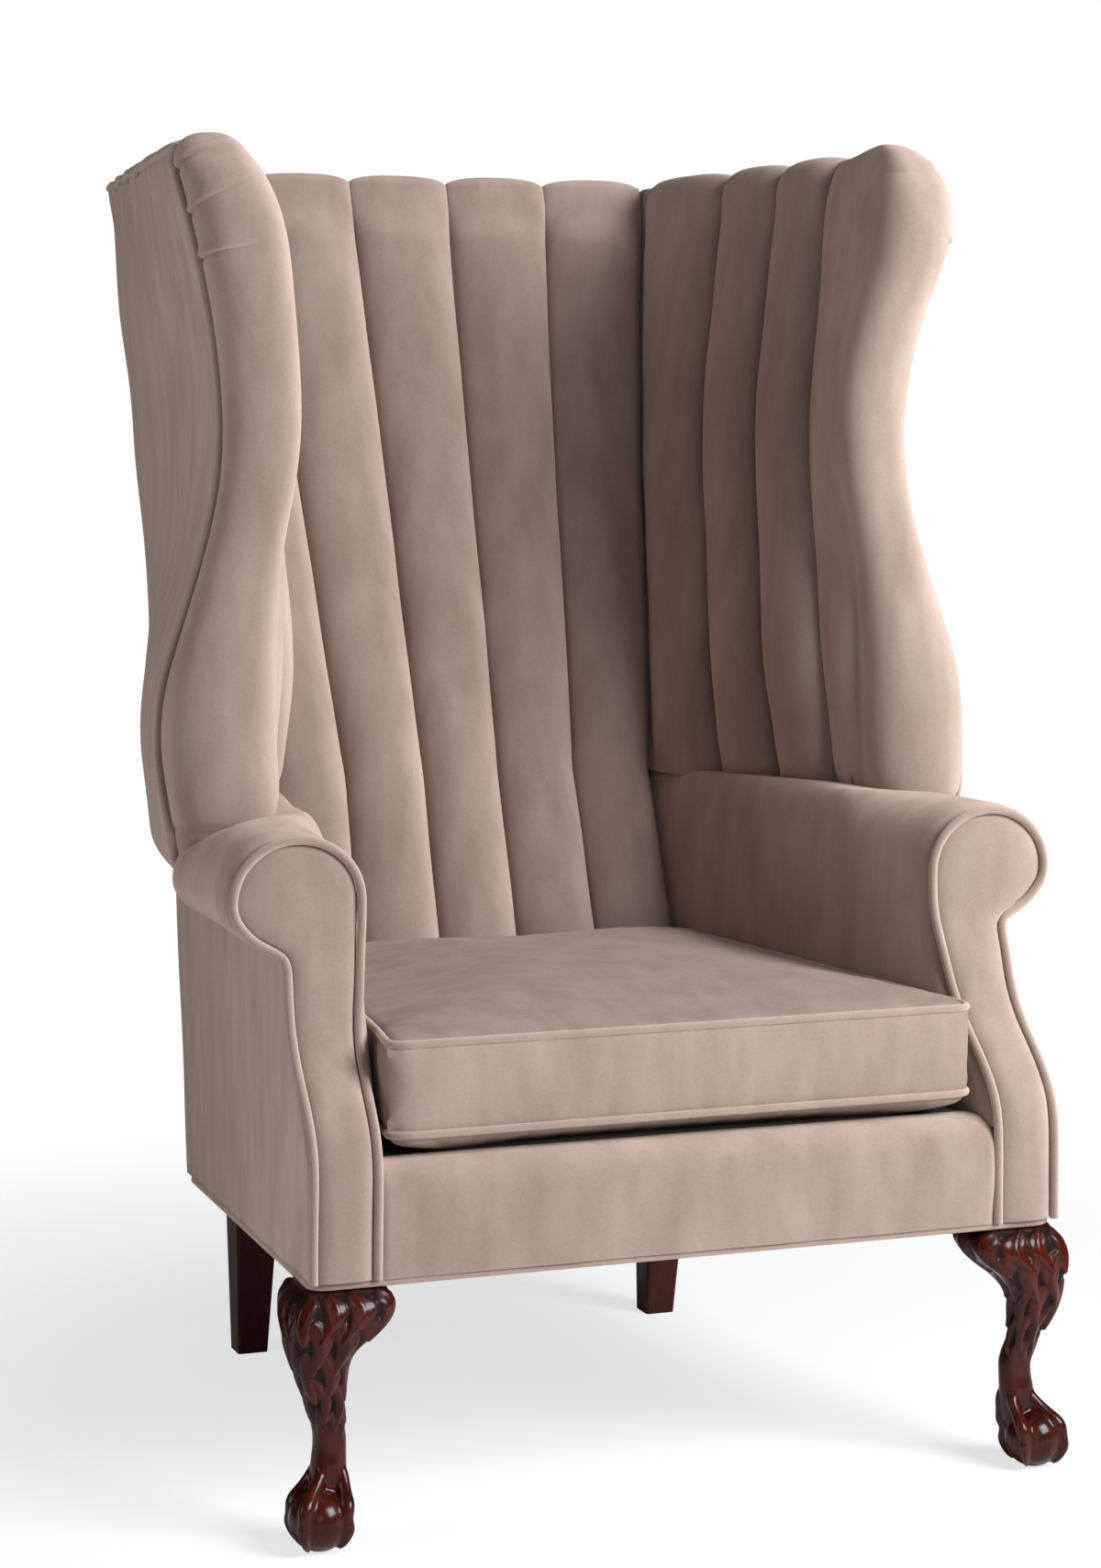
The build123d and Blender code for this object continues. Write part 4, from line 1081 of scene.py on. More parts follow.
@dataclass
class FlutedBack:
    """Inside back of five upright flutes rolled over the top rail, and the plain outside back.

    Distances v run up the outside back, and distances w forward from it.
    """

    shop: Workshop
    seams: tuple[float, ...] = (-1.0, -0.598, -0.196, 0.196, 0.598, 1.0)
    crown: float = 18.0
    seam_pull: float = 0.48
    low_v: float = 144.0
    foot: float = 28.0
    pinch_v: float = 992.0
    top_v: float = 1026.0
    rail_w: float = 37.3
    nose: float = 16.0
    outside_low: float = 9.3
    outside_v: float = 1011.0
    across: int = 26
    up: int = 190

    def plane(self, x: Points, v: Points, w: Points) -> Points:
        """Points measured from the outside back.

        Args:
            x: Places across the back.
            v: Distances up the outside back.
            w: Distances in front of it.

        Returns:
            Points with their coordinates on a last axis.
        """
        lean = LINES.back_angle
        y = LINES.y(LINES.depth) + v * math.sin(lean) - w * math.cos(lean)
        z = LINES.base_rear + v * math.cos(lean) + w * math.sin(lean)
        return np.stack(np.broadcast_arrays(x, y, z), -1)

    def seam_w(self, v: Points) -> Points:
        """Distance of the flute seams in front of the outside back.

        Args:
            v: Distances up the outside back.

        Returns:
            Distances there.
        """
        lean = LINES.back_angle
        back, up = -LINES.back_low, LINES.seat_z - LINES.base_rear
        v0 = back * math.sin(lean) + up * math.cos(lean)
        w0 = -back * math.cos(lean) + up * math.sin(lean)
        dv = LINES.inside_lean * math.sin(lean) + math.cos(lean)
        dw = -LINES.inside_lean * math.cos(lean) + math.sin(lean)
        return w0 + (v - v0) * dw / dv

    def columns(self) -> tuple[Points, Points]:
        """Places across the back and the height of the stuffing there.

        Returns:
            Shares of the half width, and shares of the crown.
        """
        shares, heights = [], []
        for left, right in zip(self.seams, self.seams[1:]):
            t = packed(self.across + 1)[:-1]
            shares.append(left + (right - left) * t)
            height = flute(t, self.seam_pull)
            corner = (left == self.seams[0]) & (t < 0.5) | (right == self.seams[-1]) & (t > 0.5)
            heights.append(np.where(corner, np.maximum(height, -0.1), height))
        shares.append([1.0])
        heights.append([-0.1])
        return np.concatenate(shares), np.concatenate(heights)

    def fullness(self, v: Points) -> Points:
        """Share of the crown up the back: drawn flat over the top, full below the pinch."""
        return 0.36 + 0.64 * ease((self.pinch_v + 12.0 - v) / 44.0)

    def pinches(self) -> list[Fold]:
        """Short creases that fan out of each seam where the flutes fill out.

        Returns:
            The creases.
        """
        folds = []
        w = float(self.seam_w(np.array(self.pinch_v))) + 9.0
        half = float(back_half(np.array(1150.0)))
        for seam in self.seams[1:-1]:
            for reach, rise in ((17.0, 22.0), (-12.0, 16.0), (12.0, -10.0)):
                start = self.plane(half * seam, self.pinch_v - 4.0, w)
                end = self.plane(half * seam + reach, self.pinch_v + rise, w)
                folds.append(Fold(tuple(start), tuple(end), 3.6, 2.4))
        return folds

    def build(self) -> None:
        """Make the inside and the outside back."""
        shares, heights = self.columns()
        foot = self.low_v - self.foot * np.linspace(1.0, 0.1, 8)
        v = np.concatenate([foot, np.linspace(self.low_v, self.top_v, self.up - len(foot))])[:, None]
        turned = np.clip((self.low_v - v) / self.foot, 0.0, 1.0)
        w = self.seam_w(v) - 13.0 * turned
        half = back_half(self.plane(0.0, v, w)[..., 2])
        h = self.crown * heights[None, :] * self.fullness(v) * np.sqrt(1.0 - turned**2)
        front = self.plane(half * shares, v, w + h)
        over = self.turn_over(half[-1] * shares, w[-1] - self.rail_w + h[-1])
        grid = self.tuck(np.concatenate([front, over]))
        facing = (0, -1, 0.2)
        lift = 0.7 * drift(grid, 130.0) - fold_depth(grid, self.pinches())
        grid += grid_normals(grid, facing) * lift[..., None]
        self.shop.cover("fluted_back", grid, facing, "inside_back", 0.75)
        self.build_outside()

    def turn_over(self, x: Points, radius: Points) -> Points:
        """Rows of points over the top rail and down to the outside back.

        Args:
            x: Places across the back.
            radius: Radius of the flutes over the front of the rail at each place.

        Returns:
            Points, rows by places by 3.
        """
        rows = []
        for angle in np.linspace(0.0, np.pi / 2, 14)[1:]:
            rows.append((self.top_v + radius * math.sin(angle), self.rail_w + radius * math.cos(angle)))
        for share in np.linspace(0.0, 1.0, 5)[1:]:
            level = self.top_v + radius * (1.0 - 0.2 * share)
            rows.append((level, self.rail_w + share * (self.nose - self.rail_w)))
        for angle in np.linspace(0.0, np.pi / 2, 7)[1:]:
            level = self.top_v + radius * 0.8 - self.nose * (1.0 - math.cos(angle))
            rows.append((level, self.nose * (1.0 - math.sin(angle))))
        rows.append((self.outside_v - 6.0, 1.0))
        return np.array([self.plane(x, v, w) for v, w in rows])

    def tuck(self, grid: Points) -> Points:
        """Carry both side edges back into the corner and, over the top, down beside the rail.

        Args:
            grid: Points of the inside back.

        Returns:
            The points with one more column at each side.
        """
        over = np.clip((np.arange(len(grid)) - self.up + 1.0) / 6.0, 0.0, 1.0)[:, None, None]
        turned = np.concatenate([np.ones_like(over), 16.0 * (1.0 - over), -15.0 * over], axis=-1)
        left = grid[:, :1] + turned * np.array([-1.0, 1.0, 1.0])
        return np.concatenate([left, grid, grid[:, -1:] + turned], axis=1)

    def build_outside(self) -> None:
        """Make the outside back, drawn flat over its frame."""
        v = np.linspace(self.outside_low, self.outside_v, 90)[:, None]
        u = packed(70)[None, :]
        level = LINES.base_rear + v * math.cos(LINES.back_angle)
        low_half = LINES.side(LINES.outside_back(level))
        half = np.where(level < LINES.neck_z, low_half, WING.outside(level)[..., 2])
        half = half - 3.0 - 4.0 * LINES.narrowing(level)
        share = (v - self.outside_low) / (self.outside_v - self.outside_low)
        puff = 3.5 * (pillow(u, 6.0, 0.8) * pillow(share, 8.0, 0.8))
        grid = self.plane(half * (2.0 * u - 1.0), v, 3.0 - puff)
        ripple(grid, (0, 1, 0), 0.6, 210.0, 5)
        self.shop.cover("outside_back_cover", grid, (0, 1, 0), "outside_back", 0.3)


@dataclass
class Wing(SideAssembly):
    """One wing: three flutes, the front roll, the outside cover and its cord."""

    pleats: tuple[Pleat, ...]
    roll_top: float
    ridge: float
    outer_dome: float
    crown: float = 17.0
    seam_pull: float = 0.42
    flute_low: float = 582.0
    turn_z: float = 1164.0
    flute_top: float = 1203.0
    seam_top: float = 1195.0
    roll_low: float = 534.0
    heel_low: float = 584.0
    heel_z: float = 626.0
    heel_r: float = 18.0
    crest_low: float = 1120.0
    crest: float = 1196.0
    inner_dome: float = 1068.0
    front_dome: float = 1148.0
    nose: float = 0.45
    bell: float = 17.0
    outside_low: float = 498.0
    outside_top: float = 1184.0
    rear_pull: float = 5.0
    across: int = 24

    def build(self) -> None:
        """Make every cover of the wing."""
        self.build_flutes()
        self.build_roll()
        self.build_outside()
        self.build_cord()

    def flute_plan(self, z: Points) -> tuple[Points, Points]:
        """Plan of the flutes, with the edges of the cover tucked in before and behind them.

        Args:
            z: Heights of the plans.

        Returns:
            Plan points, heights by places by 2, and the share of the crown at each place.
        """
        plan = WING.plan(z)
        stops = [plan[:, 3:5], plan[:, 5:7], plan[:, 7:9], plan[:, 9:11]]
        full = (1.0 - 0.3 * ease((z - 1110.0) / 50.0)) * (0.4 + 0.6 * ease((z - self.flute_low) / 46.0))
        columns, heights = [], []
        for a, b in zip(stops, stops[1:]):
            t = packed(self.across + 1)[:-1]
            run = b - a
            normal = np.stack([-run[:, 1], run[:, 0]], -1)
            normal /= np.linalg.norm(normal, axis=1, keepdims=True)
            height = flute(t, self.seam_pull)
            lift = self.crown * full[:, None] * height
            columns.append(a[:, None] + run[:, None] * t[:, None] + normal[:, None] * lift[..., None])
            heights.append(height)
        columns.append(stops[-1][:, None])
        heights.append(np.zeros(1))
        flat = np.concatenate(columns, axis=1)
        front = [flat[:, :1] + np.array(shift) for shift in ((24.0, -48.0), (17.0, -22.0), (8.0, -4.0))]
        rear = flat[:, -1:] + np.array([2.0, 0.0])
        run = np.array([0.0, 1.0]) * (LINES.outside_back(z)[:, None, None] - 2.0 - rear[..., 1:])
        steps = [rear + share * run for share in (0.3, 0.6, 0.84, 0.95, 1.0)]
        lift = np.clip(np.concatenate([np.zeros(len(front))] + heights + [np.zeros(len(steps))]), 0.0, 1.0)
        return np.concatenate(front + [flat] + steps, axis=1), lift

    def build_flutes(self) -> None:
        """Make the three flutes and turn them over the top of the wing."""
        z = np.linspace(self.flute_low, self.turn_z, 150)
        flat, lift = self.flute_plan(z)
        sunk = np.concatenate([(26.0, 8.0, 1.0), np.zeros(len(lift) - 6), (2.0, 9.0, 30.0)])
        rows = [placed(flat[..., 0], flat[..., 1], z[:, None])]
        x, depth = flat[-1, :, 0], flat[-1, :, 1]
        outer = WING.outer_x(depth, np.full_like(depth, LINES.wing_high_z)) - 1.5
        outer[:3] -= (26.0, 11.0, 2.0)
        outer -= self.rear_pull * np.clip((depth - 300.0) / (depth[-1] - 300.0), 0.0, 1.0)
        top = self.seam_top + (self.flute_top - self.seam_top) * lift
        for angle in np.linspace(0.0, np.pi, 26)[1:]:
            across = (1.0 - math.cos(angle)) / 2.0
            level = self.turn_z + (self.outside_top - 2.0 - self.turn_z) * across
            high = level + (top - level) * math.sin(angle) ** 0.8 - sunk
            rows.append(placed(x + (outer - x) * across, depth, high)[None])
        grid = np.concatenate(rows)
        facing = (-1, -0.3, 0.3)
        ripple(grid, grid_normals(grid, facing), 0.6, 120.0, 8)
        self.cover("wing_flutes", grid, facing, "inside_wing", 0.7)

    def shoulder(self, z: Points) -> Points:
        """How far the corded edge is drawn in where the roll rounds over."""
        return self.ridge * quarter_round((z - self.outer_dome) / (self.roll_top - self.outer_dome))

    def roll_loop(self, z: float) -> Points:
        """Closed plan of the roll at a height, drawn in where its top rounds over.

        Args:
            z: Height of the plan.

        Returns:
            Plan points, from the corded edge round the nose to the first seam and back.
        """
        ex, ed, bulge, x3, d3 = WING.plan(np.array(z))[:5]
        if z < LINES.wing_low_z:
            ex, ed = WING.outside(np.array(z))[:2]
        edge = np.array([ex + 1.5, ed - 2.0])
        inner = np.array([bulge, ed - 8.0])
        half = (edge[0] - inner[0]) / 2.0
        angle = np.linspace(0.0, np.pi, 56)
        c, s = np.cos(angle), np.sin(angle)
        power = 2.0 / 2.6
        front = np.stack(
            [
                (edge[0] + inner[0]) / 2.0 + half * np.sign(c) * np.abs(c) ** power,
                np.interp(c, (-1, 1), (inner[1], edge[1])) - 2.0 * half * self.nose * np.abs(s) ** power,
            ],
            -1,
        )
        t = np.linspace(0.0, 1.0, 18)[1:, None]
        seam = np.array([x3, d3 - 1.0])
        bend = (inner + seam) / 2.0 + np.array([-9.0, 0.0])
        inside = (1 - t) ** 2 * inner + 2 * t * (1 - t) * bend + t**2 * seam
        level = min(max(z, 500.0), LINES.wing_high_z)
        rear_x = WING.outer_x(np.array(d3), np.array(level)) - 4.0
        rear = np.linspace(seam, (rear_x, d3 + 4.0), 8)[1:]
        outer = np.linspace(rear[-1], edge + np.array([-2.0, 8.0]), 10)[1:]
        loop = np.concatenate([front, inside, rear, outer])
        return self.round_over(loop, z, edge[0] - self.ridge, (ed + d3) / 2.0 - 14.0)

    def round_over(self, loop: Points, z: float, ridge_x: float, middle_d: float) -> Points:
        """Draw a plan of the roll in towards its ridge as the height nears the top.

        Args:
            loop: Plan points.
            z: Height of the plan.
            ridge_x: Place of the ridge across the roll.
            middle_d: Depth that the front rounds over to.

        Returns:
            The plan points, moved.
        """
        x, depth = loop[:, 0], loop[:, 1]
        share = np.clip((depth - depth.min()) / (middle_d - depth.min()), 0.0, 1.0)
        start = np.where(x < ridge_x, self.inner_dome + 70.0 * share, self.outer_dome)
        rise = np.clip((z - start) / (self.roll_top - start), 0.0, 1.0)
        x = ridge_x + (x - ridge_x) * np.sqrt(1.0 - rise**2)
        rise = np.clip((z - self.front_dome) / (self.roll_top - self.front_dome), 0.0, 1.0)
        left = (1.0 - rise**2.4) ** (1.0 / 2.4)
        drawn = self.heel_r * quarter_round((self.heel_z - z) / (self.heel_z - self.heel_low))
        x = x + 0.7 * drawn * np.clip((ridge_x - x) / 25.0, 0.0, 1.0)
        depth = np.where(depth < middle_d, middle_d + (depth + drawn - middle_d) * left, depth)
        return np.column_stack([x, depth])

    def build_roll(self) -> None:
        """Make the stuffed roll down the front of the wing."""
        low, high = self.inner_dome, self.roll_top
        dome = low + (high - low) * np.sin(np.linspace(0.0, np.pi / 2, 140)[1:])
        rows = []
        for z in np.concatenate([np.linspace(self.roll_low, low, 110), dome]):
            loop = self.roll_loop(z)
            share = np.clip((z - self.crest_low) / (self.roll_top - self.crest_low), 0.0, 1.0)
            level = z - (self.roll_top - self.crest) * share * ease((loop[:, 1] - 300.0) / 95.0)
            rows.append(placed(loop[:, 0], loop[:, 1], level))
        grid = np.array(rows)
        away = np.cumsum(np.linalg.norm(np.diff(grid, axis=1, prepend=grid[:, :1]), axis=-1), axis=1)
        push = 0.8 * drift(grid, 160.0, 11)
        for pleat in self.pleats:
            push += pleat.lift(away, grid[..., 2])
        grid += grid_normals(grid, (0, -1, 0)) * push[..., None]
        piece = drape(f"wing_roll_pad_{self.side.tag}", self.side.place(grid), (0, -1, 0.3), ring=True)
        self.shop.fit(piece, [f"wing_roll_{self.side.tag}"], fill=0.8)

    def build_outside(self) -> None:
        """Make the outside cover of the wing, from the arm's neck to the gathered top."""
        z = np.linspace(self.outside_low, self.outside_top, 140)[:, None]
        t = np.linspace(0.0, 1.0, 90)[None, :]
        cord_x, cord_d, rear_x = np.moveaxis(WING.outside(z[:, 0]), -1, 0)[..., None]
        depth = cord_d + 1.0 + (LINES.outside_back(z) - cord_d - 1.0) * t
        x = cord_x + (rear_x - cord_x) * t - self.rear_pull * t * LINES.narrowing(z)
        x = x - self.shoulder(z) * (1.0 - t) ** 3
        puff = 3.0 * pillow(t, 5.0, 0.9) * ease((self.outside_top - z) / 120.0)
        bell = self.bell * np.sin(np.pi * t**0.85) * ease((z - 490.0) / 70.0) * ease((830.0 - z) / 210.0)
        gather = np.sin(t * 70.0 + 1.7 * np.sin(t * 19.0)) + 0.5 * np.sin(t * 121.0)
        gather = 2.0 * gather * ease((z - 1140.0) / 40.0) * ease((t - 0.2) / 0.3)
        grid = placed(x + puff + bell + gather, depth, z)
        ripple(grid, (1, 0, 0), 0.9, 170.0, 21)
        self.cover("wing_outside", grid, (1, 0, 0), "outside_wing", 0.3)

    def build_cord(self) -> None:
        """Make the cord up the roll and, gathered, back along the top of the outside cover."""
        z = np.linspace(499.0, 1172.0, 70)
        x, depth, _ = np.moveaxis(WING.outside(z), -1, 0)
        rise = placed(x + 2.6 - self.shoulder(z), depth - 1.0, z)
        t = np.linspace(0.03, 1.0, 44)
        depth = depth[-1] + t * (LINES.outside_back(self.outside_top) - 3.0 - depth[-1])
        along = WING.outer_x(depth, np.full_like(depth, LINES.wing_high_z)) - self.rear_pull * t + 1.0
        along = along - self.shoulder(self.outside_top) * (1.0 - t) ** 3
        pucker = np.sin(t * 41.0) * ease((t - 0.3) / 0.3) * ease((1.0 - t) / 0.1)
        back = placed(along + 1.2 * pucker, depth, self.outside_top + 1.5 * pucker)
        self.piping("wing_piping", np.concatenate([rise, back]), LINES.cord_r, "wing_cord")


@dataclass
class Arm(SideAssembly):
    """One arm: the rolled pad, the front facing with its cord and the outside cover."""

    scroll_out: float = 389.0
    low_z: float = 318.0
    facing_low: float = 232.0
    facing_top: float = 588.0
    facing_puff: float = 6.0
    edge_r: float = 12.0
    # Depths along the arm and the heights of its top there.
    ridge_depths: tuple = (300.0, 343.0, 425.0, 515.0, 617.0)
    ridge_heights: tuple = (596.0, 595.5, 593.0, 590.0, 585.0)
    # Heights and edges of the facing below the middle of the scroll, inner and outer.
    inner_edge: tuple = ((225, 294), (300, 293), (345, 292), (420, 287), (480, 279), (515, 275.5), (537, 275))
    outer_edge: tuple = (
        (225, 343), (300, 342), (345, 340.5), (420, 338), (470, 336.5), (487, 337), (494, 340.5), (499, 347),
        (503, 354.5), (509, 364), (518, 373), (528, 379.5), (537, 381.5),
    )

    def build(self) -> None:
        """Make every cover of the arm."""
        self.build_pad()
        self.build_facing()
        self.build_outside()

    def build_pad(self) -> None:
        """Make the pad over the arm, from the seat up and round the scroll to its neck."""
        ways = np.concatenate([[0.0, 0.002, 0.005, 0.009, 0.014, 0.02, 0.027], np.linspace(0.035, 1.0, 96)])
        grid = np.array([self.section(t) for t in ways])
        facing = (-1, 0, 0.8)
        ripple(grid, grid_normals(grid, facing), 0.8, 150.0, 31)
        self.cover("arm_pad", grid, facing, "inside_arm", 0.7)

    def shelf(self, depth: Points) -> Points:
        """Foot of the wing flutes over the arm at a depth."""
        plan = WING.plan(np.array(LINES.wing_low_z))
        return np.interp(depth, plan[[1, 4, 6, 8, 10]], np.append(plan[2], plan[[3, 5, 7, 9]])) - 17.0

    def section(self, t: float) -> Points:
        """Row of points round the arm at a share of the way back.

        Args:
            t: 0 at the facing, 1 at the inside back.

        Returns:
            Points from the seat to the scroll's neck.
        """
        axis, hang = LINES.arm_axis_z, LINES.arm_axis_z - LINES.neck_z
        z = np.concatenate([np.linspace(self.low_z, axis, 40), np.full(74, axis)])
        turn = np.concatenate([np.full(40, np.pi), np.linspace(np.pi, 0.0, 51)[1:], np.zeros(24)])
        curl = np.concatenate([np.zeros(90), np.linspace(0.0, np.pi / 2, 25)[1:]])
        guess = z + (LINES.arm_top_z - axis) * np.sin(turn) - hang * np.sin(curl)
        near = ARM_FRONT(guess) + 5.0
        far = np.minimum(LINES.inside_back(guess) + 14.0, 640.0)
        depth = near + (far - near) * t
        drawn = self.edge_r * quarter_round(1.0 - (depth - near) / (self.edge_r * 1.6))
        swell = np.sin(np.pi * np.clip((z - self.low_z) / (axis - self.low_z), 0, 1)) ** 1.5
        inner = LINES.arm(depth) - 3.0 * swell + drawn
        tucked = ease((depth - 285.0) / 60.0)
        outer = self.scroll_out - tucked * (self.scroll_out - LINES.side(depth) - 2.0) - drawn
        under = ease((depth - 205.0) / 70.0)
        high = np.interp(depth, self.ridge_depths, self.ridge_heights) - axis - drawn
        half = (outer - inner) / 2.0
        ledge = half + under * (np.maximum(self.shelf(depth) - inner, 11.0) - half)
        power = 2.0 / 2.15
        c, s = np.abs(np.cos(turn)) ** power, np.abs(np.sin(turn)) ** power
        x = np.where(turn > np.pi / 2, inner + ledge * (1.0 - c), inner + ledge + (outer - inner - ledge) * c)
        neck = LINES.side(depth) + 2.0 - drawn
        x = np.where(curl > 0, neck + (outer - neck) * np.cos(curl), x)
        up = np.where(curl > 0, axis - (hang - drawn) * np.sin(curl), z + high * s)
        return placed(x, depth, up)

    def outline(self, z: Points) -> tuple[Points, Points]:
        """Inner and outer edges of the facing at a height.

        Args:
            z: Heights.

        Returns:
            The inner and the outer edges there.
        """
        low_in, low_out = (Spline(*zip(*edge)) for edge in (self.inner_edge, self.outer_edge))
        axis = LINES.arm_axis_z
        in_x, out_x = low_in(np.array(axis)), low_out(np.array(axis))
        rise = np.clip((z - axis) / (self.facing_top - axis), 0.0, 1.0)
        cap = (out_x - in_x) / 2.0 * np.sqrt(np.maximum(1.0 - rise**2.1, 0.0))
        middle = (in_x + out_x) / 2.0
        inner = np.where(z < axis, low_in(z), middle - cap)
        outer = np.where(z < axis, low_out(z), middle + cap)
        return inner, outer

    def build_facing(self) -> None:
        """Make the padded facing on the arm front and the cord round it."""
        axis, top = LINES.arm_axis_z, self.facing_top
        low = (np.linspace(self.facing_low, 480.0, 60), np.linspace(482.0, axis, 34))
        dome = axis + (top - axis) * np.sin(np.linspace(0.0, np.pi / 2, 34)[1:])
        z = np.concatenate([*low, dome])
        inner, outer = self.outline(z)
        t = packed(34)[None, :]
        x = inner[:, None] + (outer - inner)[:, None] * t
        near_top = np.sqrt(np.clip((top - z) / 30.0, 0.0, 1.0))[:, None]
        lift = self.facing_puff * pillow(t, 3.2, 0.6) * near_top
        slope = np.gradient(ARM_FRONT(z), z)[:, None]
        size = np.sqrt(1.0 + slope**2)
        depth = ARM_FRONT(z)[:, None] + 5.0 - lift / size
        grid = placed(x, depth, z[:, None] + lift * slope / size)
        ripple(grid, (0, -1, 0), 0.6, 110.0, 41)
        self.cover("arm_front", grid, (0, -1, 0), "arm_facing", 0.6, 8.0)
        self.build_cord(np.concatenate([inner, outer[-2::-1]]), np.concatenate([z, z[-2::-1]]))

    def build_cord(self, x: Points, z: Points) -> None:
        """Make the cord round the facing.

        Args:
            x: Edge of the facing, up the inner side and down the outer.
            z: Heights along the edge.
        """
        run = np.column_stack([np.gradient(x), np.gradient(z)])
        run /= np.linalg.norm(run, axis=1, keepdims=True)
        high = z + 3.6 * run[:, 0]
        path = placed(x - 3.6 * run[:, 1], ARM_FRONT(high) + 2.0, high)
        self.piping("facing_piping", path[::2], 4.0, "facing_cord")

    def build_outside(self) -> None:
        """Make the outside cover below the scroll."""
        t = np.concatenate([[0.0, 0.003, 0.007, 0.012], np.linspace(0.02, 1.0, 90)])[None, :]
        share = np.linspace(0.0, 1.0, 56)[:, None]
        guess = self.facing_low + share * (LINES.neck_z - self.facing_low)
        near = ARM_FRONT(guess) + 4.0
        depth = near + (LINES.outside_back(guess) - near) * t
        low = LINES.base(depth) + 8.5
        z = low + (LINES.neck_z + 3.0 - low) * share
        drawn = 5.0 * quarter_round(1.0 - (depth - near) / 9.0)
        puff = 3.0 * pillow(t, 6.0, 0.8) * pillow(share, 5.0, 0.8) - drawn
        grid = placed(LINES.side(depth) - 0.5 + puff, depth, z)
        ripple(grid, (1, 0, 0), 0.8, 160.0, 51)
        self.cover("arm_outside", grid, (1, 0, 0), "outside_arm", 0.3)


@dataclass
class SeatBase:
    """Front border, deck, base cord and dust cover."""

    shop: Workshop
    border_half: float = 288.5
    border_low: float = 231.0
    border_top: float = 327.0
    border_r: float = 28.0
    deck_top: float = 332.0
    deck_near: float = 42.0
    deck_far: float = 552.0
    dust_margin: float = 14.0
    dust_depth: float = 620.0

    def build(self) -> None:
        """Make the covers of the seat."""
        self.build_border()
        self.build_deck()
        self.build_cord()
        self.build_dust_cover()

    def build_border(self) -> None:
        """Make the padded border over the front rail."""
        turn = np.linspace(0.0, np.pi / 2, 22)[1:]
        depth = np.concatenate([np.zeros(26), 27.0 * (1.0 - np.cos(turn)), [36.0, 45.0]]) - 1.5
        low, top = self.border_low, self.border_top
        shoulder = top - self.border_r
        over = shoulder + self.border_r * np.sin(turn)
        z = np.concatenate([np.linspace(low, shoulder, 26), over, [top, top]])
        depth = depth - 3.0 * np.sin(np.pi * np.clip((z - low) / (top - low), 0.0, 1.0)) ** 1.5
        x = self.border_half * (2.0 * packed(120)[None, :] - 1.0)
        drawn = 6.0 * quarter_round(1.0 - (self.border_half - np.abs(x)) / 9.0)
        grid = placed(x, depth[:, None] + drawn, z[:, None])
        ripple(grid, (0, -1, 0), 0.9, 140.0, 61)
        self.shop.cover("seat_border", grid, (0, -1, 0.3), "front_border", 0.6)

    def build_deck(self) -> None:
        """Make the sprung deck under the cushion."""
        t = np.linspace(0.0, 1.0, 50)[:, None]
        u = packed(50)[None, :]
        depth = self.deck_near + (self.deck_far - self.deck_near) * t
        x = (LINES.arm(depth) - 2.5) * (2.0 * u - 1.0)
        crown = 5.0 * pillow(u, 3.0, 0.9) * pillow(t, 3.0, 0.9)
        grid = placed(x, depth, self.deck_top - 7.0 + crown)
        self.shop.cover("seat_platform", grid, (0, 0, 1), "seat_deck", 0.5, Slot.DECK, 6.0)

    def build_cord(self) -> None:
        """Make the cord round the bottom of the body."""
        r = LINES.cord_r
        front, rear, far = LINES.half_front - r, LINES.half_rear - r, LINES.depth - r
        loop = rounded_loop(((-front, r), (front, r), (rear, far), (-rear, far)), 14.0, 16.0)
        path = placed(loop[:, 0], loop[:, 1], LINES.base(loop[:, 1]) + r)
        piece = cord_object("base_piping", path, r, closed=True)
        self.shop.fit(piece, ["base_cord"], Slot.CORD)

    def build_dust_cover(self) -> None:
        """Make the black cloth stretched under the seat."""
        t = np.linspace(0.0, 1.0, 40)[:, None]
        u = np.linspace(-1.0, 1.0, 40)[None, :]
        margin = self.dust_margin
        depth = margin + self.dust_depth * t
        sag = 4.0 * (1.0 - u**2) * np.sin(np.pi * t)
        grid = placed((LINES.side(depth) - margin) * u, depth, LINES.base(depth) + 4.5 - sag)
        piece = self.shop.cover("dust_cover_cloth", grid, (0, 0, -1), "dust_cover", None, Slot.DUST, 0.8)
        wide, far = 2 * (LINES.side(margin) - margin) * MM, self.dust_depth * MM
        narrow = 2 * (LINES.side(margin + self.dust_depth) - margin) * MM


